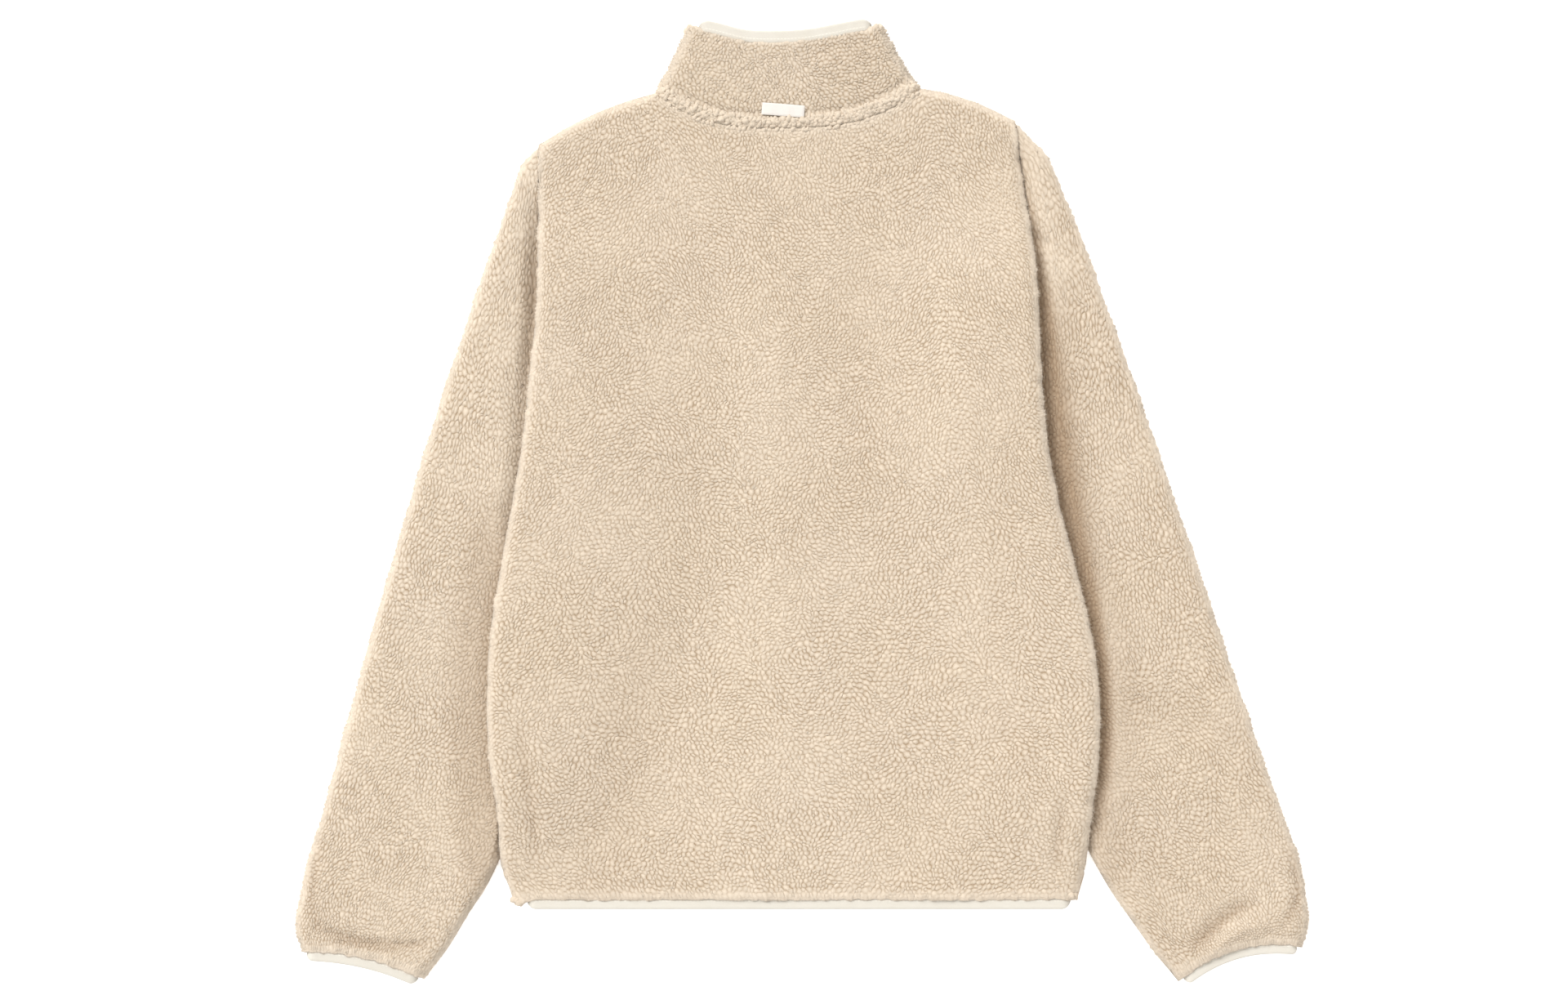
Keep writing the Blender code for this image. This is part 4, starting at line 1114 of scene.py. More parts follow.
def grown(name, base, tree, **values):
    """Run a tree on an object's mesh, and keep what it makes as a plain mesh of its own."""
    carrier = linked(f"{name}_base", base.data)
    change = carrier.modifiers.new("grow", "NODES")
    change.node_group = tree
    sockets = {item.name: item.identifier for item in tree.interface.items_tree if item.in_out == "INPUT"}
    for label, value in values.items():
        change[sockets[label.replace("_", " ")]] = value
    seen = carrier.evaluated_get(bpy.context.evaluated_depsgraph_get())
    mesh = bpy.data.meshes.new_from_object(seen)
    mesh.name = name
    bpy.data.objects.remove(carrier)
    for vertex in mesh.vertices:
        vertex.co.z = max(vertex.co.z, 0)  # the table holds up what grows downwards
    print(f"{name}: {len(mesh.polygons)} faces")
    return linked(name, mesh)


# %% One blade, and the tree that scatters it
FIBRE_WIDTH = 0.13
FIBRE_BEND = 0.6  # how far the tip leans over, as a share of the length


def fibre_mesh():
    """A flat, curved blade one millimetre long that narrows to its tip."""
    half = FIBRE_WIDTH / 2
    places = [(-half, 0, 0), (half, 0, 0), (-0.7 * half, 0.1, 0.55), (0.7 * half, 0.1, 0.55)]
    places.append((0, FIBRE_BEND, 0.95))
    return plain_mesh("fibre", places, [(0, 1, 3, 2), (2, 3, 4)])


def fibre_tree():
    """Scatter blades over the outside of a cloth, denser and longer where its pile is long."""
    floats = ("Spread", "Edge Density", "Density", "Shortest", "Longest", "Combed")
    kinds = {"Blade": "Object", **dict.fromkeys(floats, "Float"), "Seed": "Int", "Material": "Material"}
    tree, given, out = new_tree("fibres", **kinds)
    long = maths(tree, "POWER", field(tree, "shag"), 3.0)
    density = maths(tree, "ADD", maths(tree, "MULTIPLY", long, given["Edge Density"]), given["Density"])
    density = maths(tree, "MULTIPLY", density, field(tree, "outside"))
    inputs = {"Mesh": given["Geometry"], "Density": density, "Seed": given["Seed"]}
    points = add(tree, "GeometryNodeDistributePointsOnFaces", inputs, distribute_method="RANDOM").outputs
    lean = plus(tree, points["Normal"], field(tree, "comb", "FLOAT_VECTOR"), given["Combed"])
    inputs = {0: (-1, -1, -1), 1: (1, 1, 1), "Seed": 3}
    anyhow = add(tree, "FunctionNodeRandomValue", inputs, data_type="FLOAT_VECTOR").outputs[0]
    lean = plus(tree, lean, anyhow, given["Spread"])
    length = random_between(tree, given["Shortest"], given["Longest"], 5)
    grow = add(tree, "ShaderNodeMapRange", {"Value": field(tree, "shag"), "To Min": 0.6, "To Max": 1.0})
    size = maths(tree, "MULTIPLY", length, grow.outputs[0])
    turn = turned_towards(tree, lean, 7)
    return end_tree(tree, points["Points"], given["Blade"], turn, (1.0, size, size), given["Material"], out)


def fibre_material():
    constants = {"Roughness": 0.9, "Sheen_Weight": 0.3, "Specular_IOR_Level": 0.1}
    made, tree, shader = finish_material("loose_fibres", **constants)
    colour = blend_colours(tree, noise(tree, 260.0), (0.62, 0.53, 0.42), (0.72, 0.65, 0.56))
    tree.links.new(colour, shader.inputs["Base Color"])
    return made


blade = linked("fibre", fibre_mesh())
fibres_finish = fibre_material()
fibres = fibre_tree()
loose = {}
for k, piece in enumerate(cloth):
    seen = piece in (back, collar, *sleeves.values())
    loose[piece] = grown(
        f"fibres_{piece.name.removesuffix('_fleece')}",
        piece,
        fibres,
        Blade=blade,
        Spread=0.7,
        Edge_Density=1000000.0 if seen else 90000.0,
        Density=12000.0 if seen else 2000.0,
        Shortest=1.0,
        Longest=2.8,
        Combed=1.5,
        Seed=k,
        Material=fibres_finish,
    )
bpy.data.objects.remove(blade)

# %% [markdown]
# ## Curls at the neck and the corners
#
# Where the collar meets the back, the pile of both pieces crowds together into a roll that hides the
# seam, and curls stick out at the hem's and the collar's corners. They stand in rows: a row runs between
# two places on a piece's own function. One small mesh is scattered along the rows, and each curl is sunk
# so deep that only its plump back shows.

# %% Curls in rows
CURL_SIDES, CURL_RINGS = 6, 4
CURL_WIDTH = 0.4  # half its width, as a share of its length
SUNK = 0.345  # and how deep its middle line lies in the cloth


def curl_mesh():
    """A plump, slightly bent curl, one millimetre long, that narrows at both ends."""
    points, shares = [(0, 0, 0)], [0.75]
    for k in range(1, CURL_RINGS + 1):
        share = k / (CURL_RINGS + 1)
        half = CURL_WIDTH * sin(pi * share) ** 0.6 * (1.1 - 0.35 * share)
        for i in range(CURL_SIDES):
            angle = 2 * pi * (i + 0.3 * k) / CURL_SIDES
            reach = half * (1 + 0.12 * sin(2 * angle + k))
            points.append((reach * cos(angle), reach * sin(angle) + 0.25 * share**2, share))
            shares.append(0.8 + 0.2 * sin(pi * share))
    points.append((0, 0.3, 0.98))
    last = len(points) - 1
    faces = []
    for i in range(CURL_SIDES):
        ahead = (i + 1) % CURL_SIDES
        faces += [(0, 1 + ahead, 1 + i), (last, last - CURL_SIDES + i, last - CURL_SIDES + ahead)]
        for k in range(CURL_RINGS - 1):
            low, high = 1 + k * CURL_SIDES, 1 + (k + 1) * CURL_SIDES
            faces.append((low + i, low + ahead, high + ahead, high + i))
    mesh = plain_mesh("curl", points, faces)
    # painted shade: the tuft values paint each curl browner towards its base, and the shade value gives it a
    # little painted shade all over
    for key, value in (("tuft", [*shares, 0.9]), ("tone", 0.5), ("shade", 0.1), ("shag", 0.3)):
        store(mesh, key, np.broadcast_to(value, len(points)))
    mesh.shade_smooth()
    return mesh


def curl_tree():
    """Set a curl at every point, along its way and as long as its size says, give or take."""
    kinds = {"Curl": "Object", "Least": "Float", "Most": "Float", "Seed": "Int", "Material": "Material"}
    tree, given, out = new_tree("curls", **kinds)
    vary = random_between(tree, given["Least"], given["Most"], given["Seed"])
    size = maths(tree, "MULTIPLY", field(tree, "size"), vary)
    wide = maths(tree, "MULTIPLY", size, random_between(tree, 0.8, 1.15, 21))
    turn = turned_towards(tree, field(tree, "way", "FLOAT_VECTOR"), 17)
    return end_tree(tree, given["Geometry"], given["Curl"], turn, (wide, wide, size), given["Material"], out)


def spill(name, surface, turned, rows, seed):
    """Curls in rows on a surface. A row has its two ends (u, v), its spacing, its curls' length and the
    way that they point."""
    random = np.random.default_rng(seed)
    places, ways, sizes = [], [], []
    for (u0, v0), (u1, v1), spacing, length, way in rows:
        fine = np.linspace(0, 1, 300)
        line = surface(mix(u0, u1, fine), mix(v0, v1, fine))[0]
        run = running(np.linalg.norm(np.diff(line, axis=0), axis=1))
        count = round(run[-1] / spacing)
        at = np.interp((np.arange(count) + random.uniform(0, 1, count)) / count * run[-1], run, fine)
        u, v = mix(u0, u1, at), mix(v0, v1, at)
        normal = normals_of(surface, u, v, 0.002, 0.002, turned)
        towards = np.array(way) / np.linalg.norm(way)
        places.append(surface(u, v)[0] - 0.5 * length * towards - SUNK * length * normal)
        ways.append(towards + 0.1 * normal + random.uniform(-0.25, 0.25, (count, 3)))
        sizes.append(np.full(count, float(length)))
    carrier = linked(f"{name}_places", plain_mesh(f"{name}_places", np.concatenate(places), []))
    store(carrier.data, "way", np.concatenate(ways), kind="FLOAT_VECTOR")
    store(carrier.data, "size", np.concatenate(sizes))
    values = {"Curl": curl, "Least": 0.75, "Most": 1.25, "Seed": seed, "Material": fleece}
    made = grown(name, carrier, curls, **values)
    bpy.data.objects.remove(carrier)
    return made


curl, curls = linked("curl", curl_mesh()), curl_tree()
BACK_ROWS = (
    # from,          to,             spacing, length, way
    ((0.006, 0.006), (0.024, 0.004), 1.6, 7.5, (-0.2, -1, -0.1)),
    ((0.24, 0.994), (0.79, 0.994), 2.0, 5.2, (0.6, 1, 0)),
    ((0.976, 0.004), (0.994, 0.006), 1.6, 7.5, (0.2, -1, -0.1)),
)
COLLAR_ROWS = (
    ((0.245, 0.02), (0.745, 0.02), 1.9, 5.4, (0.9, 0.7, 0)),
    ((0.245, 0.055), (0.745, 0.055), 2.0, 5.8, (-0.9, 0.6, 0)),
    ((0.245, 0.09), (0.745, 0.09), 2.0, 5.8, (0.7, 0.7, 0)),
    ((0.245, 0.125), (0.445, 0.125), 2.0, 5.4, (-0.7, 0.7, 0)),
    ((0.562, 0.125), (0.745, 0.125), 2.0, 5.4, (-0.7, 0.7, 0)),
    ((0.238, 0.93), (0.256, 0.99), 0.8, 6.0, (0.4, 1, 0)),
    ((0.242, 0.97), (0.262, 0.99), 0.8, 6.0, (0.1, 1, 0)),
    ((0.74, 0.93), (0.722, 0.99), 0.8, 6.0, (-0.4, 1, 0)),
    ((0.736, 0.97), (0.716, 0.99), 0.8, 6.0, (-0.1, 1, 0)),
)
spilled = {
    back: spill("curls_back", back_surface, 1, BACK_ROWS, 71),
    collar: spill("curls_collar", collar_surface, -1, COLLAR_ROWS, 72),
}
bpy.data.objects.remove(curl)

# %% [markdown]
# ## Bindings
#
# Knitted tape folds over each raw edge: along the hem, round both cuffs and along the collar. Each is
# one rounded section carried round a flattened loop. The hem's and the collar's stop at the zip.

# %% Bindings
BAND, BAND_THICK = 8.0, 3.6  # how far a binding stands out from the cloth, and its thickness
BAND_FOLD = 4.6  # half the distance between the middles of its two layers
HEM_BAND = (-218, 213)  # where the hem's binding starts and ends across the table
COLLAR_BAND = (-81, 54.5)
COLLAR_TUCK = 0.7  # how far the collar's binding sits below the collar's own line
CUFF_END = 11.0
TUCKED = 2.2  # how far a binding reaches in over the cloth that it binds
GROOVE_AT, GROOVE_DEPTH = 4.7, 0.35  # where its seam presses in
STEP, BEND_STEPS = 1.5, 8  # length of each stretch of a binding, and the stretches in a half turn


def loop_line(low, high, radius, opening=None):
    """Points (along, height) round a flattened loop, about a step apart, and whether it closes."""
    left, right, under, over = low + radius, high - radius, MID - radius, MID + radius

    def straight(start, end, up):
        count = max(2, round(abs(end - start) / STEP))
        return [(mix(start, end, k / count), up) for k in range(count)]

    def bend(end, sign):
        turns = (pi * k / BEND_STEPS for k in range(BEND_STEPS))
        return [(end + sign * radius * sin(a), MID - sign * radius * cos(a)) for a in turns]

    last, first = opening or (mix(left, right, 0.5),) * 2
    loop = straight(first, right, under) + bend(right, 1) + straight(right, left, over)
    loop += bend(left, -1) + straight(left, last, under)
    return np.array(loop + ([(last, under)] if opening else [])), opening is None


def bulged(x, power):
    """A wave from -1 to 1, made fuller: a circle built of two such waves is nearly a rectangle."""
    return np.sign(x) * np.abs(x) ** power


def band_section():
    """Points (out, thickness) round a binding's section, from its inner edge over the outer face."""
    middle, half = (BAND - TUCKED) / 2 + 0.2, (BAND + TUCKED) / 2
    turns = np.linspace(0, 2 * pi, 21)[:-1] + pi / 20
    out = middle - half * bulged(np.cos(turns), 0.6)
    thick = BAND_THICK / 2 * bulged(np.sin(turns), 0.45)
    groove = GROOVE_DEPTH * np.clip(1 - np.abs(out - GROOVE_AT) / 1.1, 0, 1)
    return out, thick - np.sign(thick) * groove


def store_weave(mesh, run, out):
    """The distances along a tape and across it, which the knitted finish reads."""
    store(mesh, "run", run)
    store(mesh, "out", out)


def band(name, loop, closed, place):
    """A binding along a loop, placed on the table by a function of (along, out, over the top)."""
    ahead, behind = np.roll(loop, -1, axis=0), np.roll(loop, 1, axis=0)
    if not closed:
        ahead[-1], behind[0] = loop[-1], loop[0]
    way = ahead - behind
    normal = np.stack([way[:, 1], -way[:, 0]], -1) / np.linalg.norm(way, axis=1)[:, None]
    out, thick = band_section()
    at = loop[:, None, 0] + normal[:, None, 0] * thick
    up = loop[:, None, 1] + normal[:, None, 1] * thick
    x, y = place(at, np.broadcast_to(out, at.shape), up > MID)
    count, around = at.shape
    mesh = plain_mesh(name, xyz(x, y, up).reshape(-1, 3), tube_faces(count, around, closed))
    run = running(np.linalg.norm(np.diff(loop, axis=0), axis=1))
    store_weave(mesh, np.repeat(run, around), np.tile(out, count))
    mesh.shade_smooth()
    print(f"{name}: {2 * count * around} triangles")
    return linked(name, mesh)


def rounded_off(at, out, low, high, reach):
    """Draw a binding in towards the cloth over this reach at both ends, from just past low and high."""
    low, high = low - 2, high + 2
    return np.where(out > 0, out * quarter(np.minimum(at - low, high - at), reach), out)


def hem_place(at, out, over):
    """Where on the table a point of the hem's binding lies."""
    return at, HEM - rounded_off(at, out, *HEM_BAND, 8) - SEAM


def collar_place(at, out, over):
    """The same for the collar's binding."""
    return at, collar_top(at, over) - COLLAR_TUCK + rounded_off(at, out, *COLLAR_BAND, 11)


def cuff_place(side):
    """The same function for a cuff's binding, and where across the cuff it starts and ends."""
    outer, inner = (np.array(end, float) for end in SLEEVE[side][-1])
    width = np.linalg.norm(inner - outer)
    across = (inner - outer) / width
    beyond = np.array([-across[1], across[0]]) * side
    ends = CUFF_END - BAND_FOLD, width - CUFF_END + BAND_FOLD

    def place(at, out, over):
        share = at / width
        bow = 4 * CUFF_BOW[side] * share * (1 - share)
        away = rounded_off(at, out, *ends, 7) + SEAM - bow
        return tuple(outer[axis] + across[axis] * at + beyond[axis] * away for axis in (0, 1))

    return place, ends


hem_band = band("hem_knit", *loop_line(*HEM_BAND, BAND_FOLD, SLIT), hem_place)
collar_band = band("collar_knit", *loop_line(*COLLAR_BAND, BAND_FOLD, SLIT), collar_place)
cuff_bands = {}
for side, name in ((LEFT, "cuff_knit_left"), (RIGHT, "cuff_knit_right")):
    place, ends = cuff_place(side)
    cuff_bands[side] = band(name, *loop_line(*ends, BAND_FOLD), place)

# %% Knit material
def knit_material(name, pale, dark, rib, depth):
    """Fine knitted or woven tape: ribs across it, rows along it, and a dusting of loose threads.

    rib is the distance between ribs in millimetres, and depth is in metres.
    """
    made, tree, shader = finish_material(name, Roughness=0.8, Sheen_Weight=0.25, Specular_IOR_Level=0.2)
    ribs = maths(tree, "SINE", maths(tree, "MULTIPLY", attribute(tree, "run"), 2 * pi / rib))
    rows = maths(tree, "SINE", maths(tree, "MULTIPLY", attribute(tree, "out"), 2 * pi / (rib * 0.8)))
    weave = maths(tree, "MULTIPLY_ADD", ribs, rows, noise(tree, 700.0))
    share = maths(tree, "MULTIPLY_ADD", weave, 0.3, noise(tree, 60.0), clamp=True)
    tree.links.new(blend_colours(tree, share, dark, pale), shader.inputs["Base Color"])
    feel(tree, shader, weave, depth)
    return made


knit = knit_material("ivory_knit", (0.695, 0.66, 0.59), (0.64, 0.60, 0.52), rib=0.9, depth=0.00012)
for piece in (hem_band, collar_band, *cuff_bands.values()):
    piece.data.materials.append(knit)
print("bindings finished")

# %% Label
LABEL = (34, 9.6, 1.0)  # width, height and thickness
LABEL_PLACE, LABEL_TILT = (-15, 312.6), -4.5
LABEL_COLUMNS, LABEL_ROWS = 40, 12


def label_mesh():
    """A blank woven label: a thin slab that follows the soft cloth, with edges folded under."""
    u, v = np.meshgrid(np.linspace(-0.5, 0.5, LABEL_COLUMNS + 1), np.linspace(-0.5, 0.5, LABEL_ROWS + 1))
    turn = radians(LABEL_TILT)
    x = LABEL_PLACE[0] + u * LABEL[0] * cos(turn) - v * LABEL[1] * sin(turn)
    y = LABEL_PLACE[1] + u * LABEL[0] * sin(turn) + v * LABEL[1] * cos(turn)
    edge = np.maximum(np.abs(u) * 2, np.abs(v) * 2)
    drop = 0.45 * np.clip((edge - 0.9) / 0.1, 0, 1) ** 2
    sides = []
    for off_cloth in (LABEL[2] - drop, drop * 0.2):
        up = THICK + SEAM + off_cloth - 0.5 * (2 * u) ** 2 + 0.12 * np.sin(u * 17) * np.cos(v * 3)
        sides.append(xyz(x, y, up).reshape(-1, 3))
    quads = grid_quads(np.arange(u.size).reshape(u.shape))
    ring = border(LABEL_COLUMNS, LABEL_ROWS)
    rim = [(q, p, p + u.size, q + u.size) for p, q in zip(ring, ring[1:])]
    faces = quads.tolist() + (quads[:, ::-1] + u.size).tolist() + [tuple(map(int, f)) for f in rim]
    mesh = plain_mesh("label_blank", np.concatenate(sides), faces)
    store_weave(mesh, np.tile(u.ravel() * LABEL[0], 2), np.tile(v.ravel() * LABEL[1], 2))
    mesh.shade_smooth()
    mesh.set_sharp_from_angle(angle=radians(50))
    return mesh


label_weave = knit_material("label_weave", (0.70, 0.665, 0.62), (0.66, 0.62, 0.575), rib=0.5, depth=0.00004)
label = linked("label_blank", label_mesh(), label_weave)
print("label made")

# %% [markdown]
# ## The zip beneath
#
# The closed zip lies on the under side. Two woven tapes carry a row of moulded teeth each, and the
# rows interlock. Geometry Nodes sets one tooth at even steps along each row's line, turned to face the
# other row. The slider is parked at the top with its pull lying down over the teeth. Its body is a
# pinched plate with a bridge over it, which leaves the pull room to swing.

# %% Teeth
TAPE = (15, 0.6)  # width and thickness
CHAIN = (5, 2)
STOP = (8, 8, 2.6)  # the end box: width, length and thickness
SLIDER = (9, 13, 1.8)
ARCH = (2, 5.4, 2.8, 0.7)  # the slider's bridge: width, length, height and thickness
PULL = (7, 24, 1.1)
WINDOW = (3.4, 4.4)  # the hole in the pull that the bridge passes through
TAPE_SHORT = 1.0  # a small gap at the ends of the zip's parts
TEETH_PITCH = 2.6
LAST_TOOTH = 2.4  # the rows stop this far short of the chain's top, but for their own shift
ZIP_TOP = 344.5  # just under the collar's edge, so that the pull turns on the joint's own axis
CHAIN_FOOT, CHAIN_TOP = HEM + STOP[1] + TAPE_SHORT, ZIP_TOP - SLIDER[1] - 2 * TAPE_SHORT
CHAIN_LOW = CLOTH - CHAIN[1]


def outline_solid(name, outline, low, high, chamfer=0.25, hole=None):
    """A plate cut to an outline, with chamfered edges, and a hole of as many points or none."""

    def ring(points, by, z):
        away = points - points.mean(axis=0)
        points = points - away / np.linalg.norm(away, axis=1)[:, None] * by
        return np.column_stack([points, np.full(len(points), z)])

    levels = [(low, chamfer), (low + chamfer, 0), (high - chamfer, 0), (high, chamfer)]
    rings = [ring(np.array(outline, float), by, z) for z, by in levels]
    if hole:
        rings += [ring(np.array(hole, float), -by, z) for z, by in levels[::-1]]
    mesh = plain_mesh(name, np.concatenate(rings), tube_faces(len(rings), len(outline), bool(hole)))
    mesh.shade_smooth()
    mesh.set_sharp_from_angle(angle=radians(35))
    return mesh


def rounded_outline(width, length, radius, centre=(0, 0), steps=5):
    """Points round a rectangle with rounded corners, anticlockwise."""
    points = []
    for k, (sx, sy) in enumerate(((1, 1), (-1, 1), (-1, -1), (1, -1))):
        for step in range(steps + 1):
            a = radians(90 * k + 90 * step / steps)
            x = centre[0] + sx * (width / 2 - radius) + radius * cos(a)
            points.append((x, centre[1] + sy * (length / 2 - radius) + radius * sin(a)))
    return points


def tooth_mesh():
    """One moulded tooth with its head towards +X, centred on the line of the chain."""
    outline = [(-2.4, -0.8), (-0.6, -0.8), (-0.2, -0.45), (0.5, -0.75), (1.0, -0.4), (1.0, 0.4)]
    outline += [(0.5, 0.75), (-0.2, 0.45), (-0.6, 0.8), (-2.4, 0.8)]
    mesh = outline_solid("tooth", outline, -CHAIN[1] / 2, CHAIN[1] / 2, 0.2)
    mesh.transform(Matrix.Rotation(radians(90), 4, "X"))
    return mesh


def row_tree():
    """Set one object at even steps along a line."""
    tree, given, out = new_tree("row", Part="Object", Step="Float", Material="Material")
    curve = add(tree, "GeometryNodeMeshToCurve", {"Mesh": given["Geometry"]}).outputs[0]
    inputs = {"Curve": curve, "Length": given["Step"]}
    spaced = add(tree, "GeometryNodeResampleCurve", inputs, mode="LENGTH").outputs[0]
    points = add(tree, "GeometryNodeCurveToPoints", {"Curve": spaced}, mode="EVALUATED").outputs
    turn = points["Rotation"]
    return end_tree(tree, points["Points"], given["Part"], turn, (1, 1, 1), given["Material"], out)


def hard_material(name, pale, dark, roughness, metallic=0.0, grain=400.0):
    """Moulded plastic or brushed metal, with faint mottling."""
    made, tree, shader = finish_material(name, Metallic=metallic)
    mottled = noise(tree, grain, 3.0)
    tree.links.new(blend_colours(tree, mottled, dark, pale), shader.inputs["Base Color"])
    inputs = {"Value": mottled, "To Min": roughness - 0.08, "To Max": roughness + 0.08}
    tree.links.new(add(tree, "ShaderNodeMapRange", inputs).outputs[0], shader.inputs["Roughness"])
    feel(tree, shader, mottled, 0.00003)
    return made


teeth_finish = hard_material("moulded_teeth", (0.86, 0.80, 0.67), (0.80, 0.73, 0.60), roughness=0.45)
metal = {"roughness": 0.32, "metallic": 1.0, "grain": 900.0}
metal_finish = hard_material("slider_metal", (0.74, 0.71, 0.66), (0.64, 0.61, 0.56), **metal)
tape_finish = knit_material("zip_tape", (0.84, 0.77, 0.64), (0.72, 0.64, 0.50), rib=0.7, depth=0.00006)


def row_of(name, part, points, step, finish):
    """One part at even steps along a line through these points."""
    mesh = bpy.data.meshes.new("line")
    edges = [(k, k + 1) for k in range(len(points) - 1)]
    mesh.from_pydata((np.asarray(points, float) * MM).tolist(), edges, [])
    base = linked("line", mesh)
    made = grown(name, base, in_row, Part=part, Step=step * MM, Material=finish)
    bpy.data.objects.remove(base)
    return made


def joined(name, items):
    """One object out of several."""
    with bpy.context.temp_override(active_object=items[0], selected_editable_objects=items):
        bpy.ops.object.join()
    items[0].name = items[0].data.name = name
    return items[0]


in_row = row_tree()
tooth = linked("tooth", tooth_mesh())
mid_up = CHAIN_LOW + CHAIN[1] / 2
rows = []
for side, shift in ((LEFT, 1.0), (RIGHT, 1.0 + TEETH_PITCH / 2)):
    low, high = (ZIP, CHAIN_FOOT + shift, mid_up), (ZIP, CHAIN_TOP - LAST_TOOTH + shift, mid_up)
    ends = (low, high) if side == LEFT else (high, low)
    rows.append(row_of("teeth", tooth, ends, TEETH_PITCH, teeth_finish))
bpy.data.objects.remove(tooth)
teeth = joined("zip_teeth", rows)

# %% Tapes, end box, slider and pull
BRIDGE_STEPS = 12
BRIDGE_ROOT = 0.3  # how deep its feet stand in the slider's plate
GRIP = (3.6, 0.9, 0.4)  # one of the ridges on the pull: width, length and the radius of its corners
GRIP_START, GRIP_STEP = 4.2, 2  # from the pull's free end to the first, and from one to the next
GRIP_PROUD, GRIP_THICK = 0.25, 0.4


def weave_places(mesh):
    """Give a strip that runs along Y the attributes that the knitted finish reads."""
    points = np.zeros(len(mesh.vertices) * 3)
    mesh.vertices.foreach_get("co", points)
    store_weave(mesh, points[1::3] / MM, points[0::3] / MM)


def plate(name, outline, low, high, finish, **options):
    """A plate cut to an outline, as a piece with its finish."""
    return linked(name, outline_solid(name, outline, low, high, **options), finish)


tapes = {}
for side, name in ((LEFT, "tape_left"), (RIGHT, "tape_right")):
    length = ZIP_TOP - TAPE_SHORT - HEM
    middle = (ZIP + side * (SEAM / 2 + TAPE[0]) / 2, HEM + length / 2)
    outline = rounded_outline(TAPE[0] - SEAM / 2, length, 0.5, middle, 1)
    low = CLOTH + SEAM
    tapes[side] = plate(name, outline, low, low + TAPE[1], tape_finish, chamfer=0.12)
    weave_places(tapes[side].data)

outline = rounded_outline(STOP[0], STOP[1], 1.2, (ZIP, CHAIN_FOOT - SEAM - STOP[1] / 2))
end_box = plate("end_box", outline, CLOTH - STOP[2], CLOTH, teeth_finish, chamfer=0.5)

slider_foot = CHAIN_TOP + SEAM
slider_head, plate_low = slider_foot + SLIDER[1], CLOTH - SLIDER[2]
half = ((0.06, 1), (0.38, 1), (0.5, 0.9), (0.48, 0.6), (0.36, 0.25), (0.34, 0.04), (0.26, 0))
pinch = [*half[2::-1], (0, 0.9), *((-x, y) for x, y in half), *half[:2:-1]]
outline = [(ZIP + x * SLIDER[0], slider_foot + y * SLIDER[1]) for x, y in pinch]
slider = plate("slider_plate", outline, plate_low, CLOTH, metal_finish, chamfer=0.35)

axis_y = slider_head - TAPE_SHORT - ARCH[1] / 2
turns = np.linspace(0, pi, BRIDGE_STEPS + 1)
rails = []
for side, reach in ((-1, ARCH[3]), (-1, 0), (1, 0), (1, ARCH[3])):
    y = axis_y + (ARCH[1] / 2 - reach) * bulged(np.cos(turns), 0.5)
    z = plate_low + BRIDGE_ROOT - (ARCH[2] + BRIDGE_ROOT - reach) * np.sqrt(np.sin(turns))
    rails.append(xyz(np.full(len(turns), ZIP + side * ARCH[0] / 2), y, z))
points = np.stack(rails, axis=1).reshape(-1, 3)
arch = linked("bridge", plain_mesh("bridge", points, tube_faces(len(turns), 4, closed=False)), metal_finish)
slider = joined("slider", [slider, arch])

axis_z = (plate_low - ARCH[2] + ARCH[3] + plate_low) / 2
bar = axis_y + PULL[2] / 2
hole = rounded_outline(*WINDOW, 0.9, (ZIP, bar - PULL[2] - WINDOW[1] / 2))
outline = rounded_outline(PULL[0], PULL[1], 2.2, (ZIP, bar - PULL[1] / 2))
pull = plate("pull", outline, axis_z - PULL[2] / 2, axis_z + PULL[2] / 2, metal_finish, hole=hole)
grips = []
for k in range(3):
    outline = rounded_outline(*GRIP, (ZIP, bar - PULL[1] + GRIP_START + GRIP_STEP * k), 3)
    low = axis_z - PULL[2] / 2 - GRIP_PROUD
    grips.append(plate(f"grip_{k}", outline, low, low + GRIP_THICK, metal_finish, chamfer=0.12))
pull = joined("pull_tab", [pull, *grips])
print(f"slider at {slider_foot:.1f} mm, pull turns at ({axis_y:.1f}, {axis_z:.2f})")

# %% Stitches
STITCH = (0.42, 2.1)  # thickness and length
STITCH_RINGS, STITCH_SIDES = 5, 6
SEWN_AT = 1.4  # distance of the stitches from the cloth's edge
stitch_finish = hard_material("sewing_thread", (0.92, 0.88, 0.80), (0.82, 0.76, 0.66), roughness=0.75)


def stitch_mesh():
    """One short stitch: a rounded thread that dips at both ends."""
    share, turn = np.mgrid[0 : 1 : STITCH_RINGS * 1j, 0:STITCH_SIDES]
    half, turn = STITCH[0] / 2 * (0.45 + 0.55 * np.sin(pi * share)), turn * 2 * pi / STITCH_SIDES
    points = xyz(half * np.cos(turn), half * 0.8 * np.sin(turn), (share - 0.5) * STITCH[1])
    return plain_mesh("stitch", points.reshape(-1, 3), tube_faces(STITCH_RINGS, STITCH_SIDES, closed=False))


def sewn(name, ends, short, place):
    """A row of stitches on the upper side of a binding, which stops this far short of its ends."""
    at = np.linspace(ends[0] + short, ends[1] - short, 120)
    x, y = place(at, np.full(at.shape, SEWN_AT), np.full(at.shape, True))
    up = np.full(at.shape, MID + BAND_FOLD + BAND_THICK / 2 - 0.08)
    return row_of(name, stitch, xyz(x, y, up), STITCH[1] * 1.3, stitch_finish)


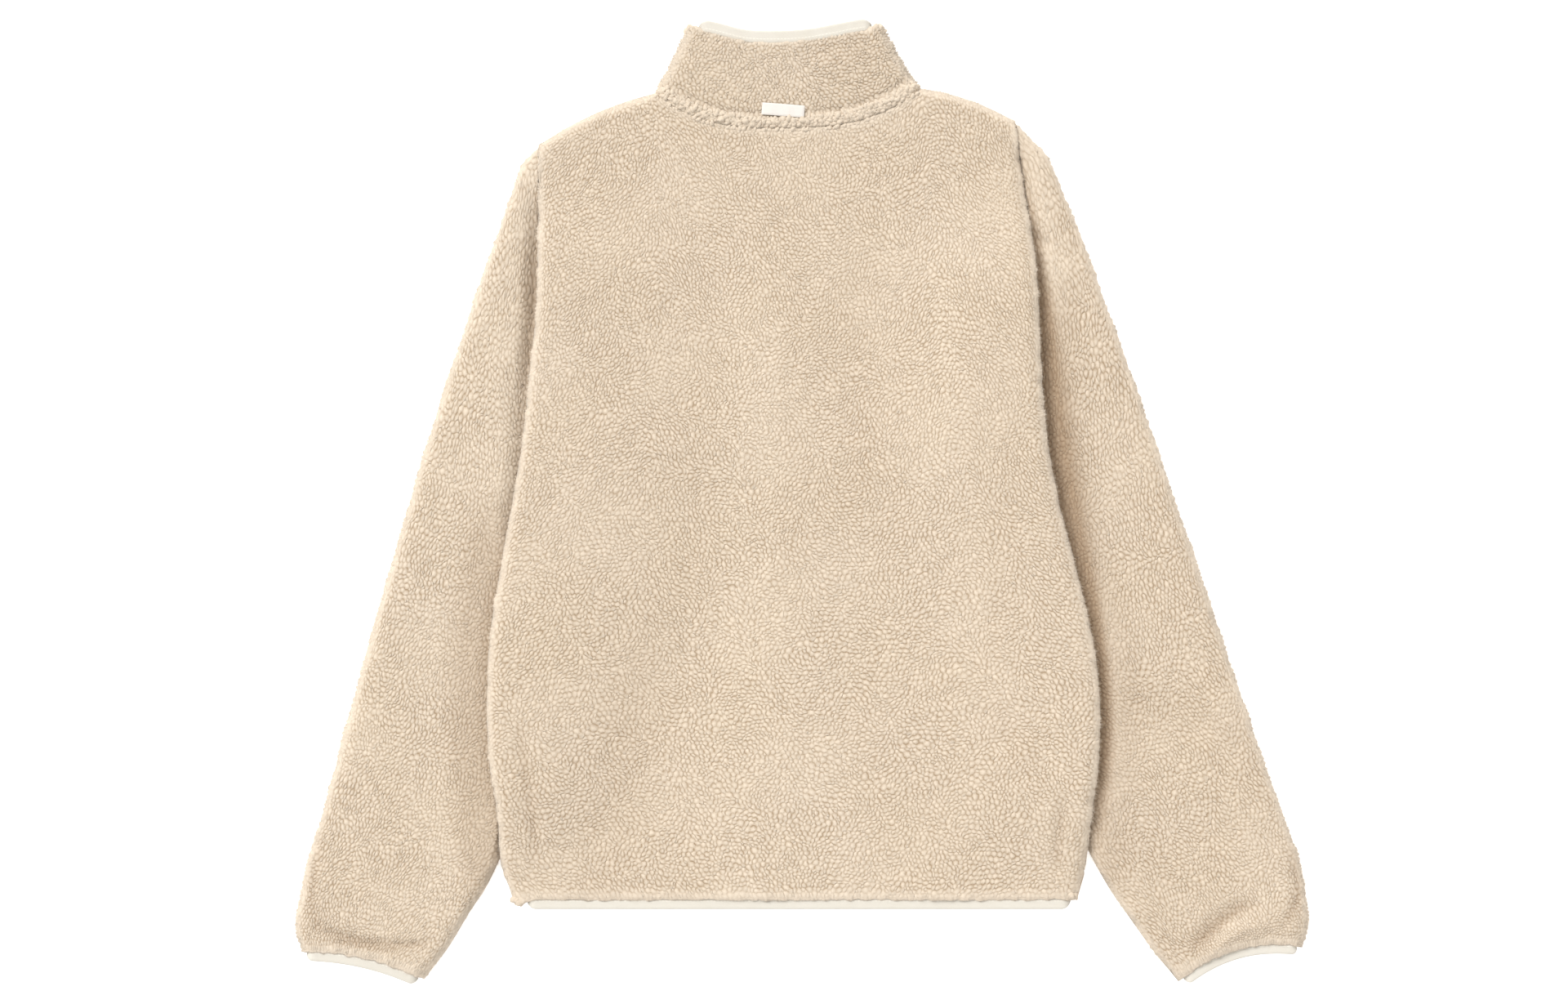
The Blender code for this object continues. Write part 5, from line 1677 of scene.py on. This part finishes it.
stitch = linked("stitch", stitch_mesh())
hem_sewn = sewn("hem_stitches", HEM_BAND, 6, hem_place)
collar_sewn = sewn("collar_stitches", COLLAR_BAND, 5, collar_place)
cuffs_sewn = {}
for side, name in ((LEFT, "cuff_stitches_left"), (RIGHT, "cuff_stitches_right")):
    place, ends = cuff_place(side)
    cuffs_sewn[side] = sewn(name, ends, BAND_FOLD + 1, place)
bpy.data.objects.remove(stitch)

# %% [markdown]
# ## The pieces and their bodies
#
# The jacket is finished; what is left is to say what each piece is. Every piece rides on a body of the
# frame: all of them on the jacket, except the pull tab, which swings on the slider. Every piece also
# hides the plain solid that it stands in for. A loop over a short table does that, because a table
# shows at a glance if a piece was forgotten.

# %% Bodies, solids and finishes
CUFF = {LEFT: "cuff_binding_left", RIGHT: "cuff_binding_right"}
fleece_nodes = {
    back: "back_panel",
    front_left: "front_left",
    front_right: "front_right",
    sleeves[LEFT]: "sleeve_left",
    sleeves[RIGHT]: "sleeve_right",
    collar: "collar",
}
belongs = [(piece, node, "fleece", "jacket") for piece, node in fleece_nodes.items()]
for extra in (loose, spilled):
    belongs += [(item, fleece_nodes[piece], "fleece", "jacket") for piece, item in extra.items()]
for side in (LEFT, RIGHT):
    belongs += [(piece, CUFF[side], "binding", "jacket") for piece in (cuff_bands[side], cuffs_sewn[side])]
belongs += [
    (hem_band, "hem_binding", "binding", "jacket"),
    (hem_sewn, "hem_binding", "binding", "jacket"),
    (collar_band, "collar_binding", "binding", "jacket"),
    (collar_sewn, "collar_binding", "binding", "jacket"),
    (label, "neck_label", "label", "jacket"),
    (tapes[LEFT], "zip_tape_left", "zip_tape", "jacket"),
    (tapes[RIGHT], "zip_tape_right", "zip_tape", "jacket"),
    (teeth, "zip_chain", "zip_teeth", "jacket"),
    (end_box, "zip_box", "zip_teeth", "jacket"),
    (slider, "zip_slider", "zip_metal", "jacket"),
    (pull, "zip_pull", "zip_metal", "pull"),
]
for piece, node, finish, body in belongs:
    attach(piece, body)
    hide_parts(node)
print(f"{len(belongs)} pieces, {len({node for _, node, _, _ in belongs})} solids")
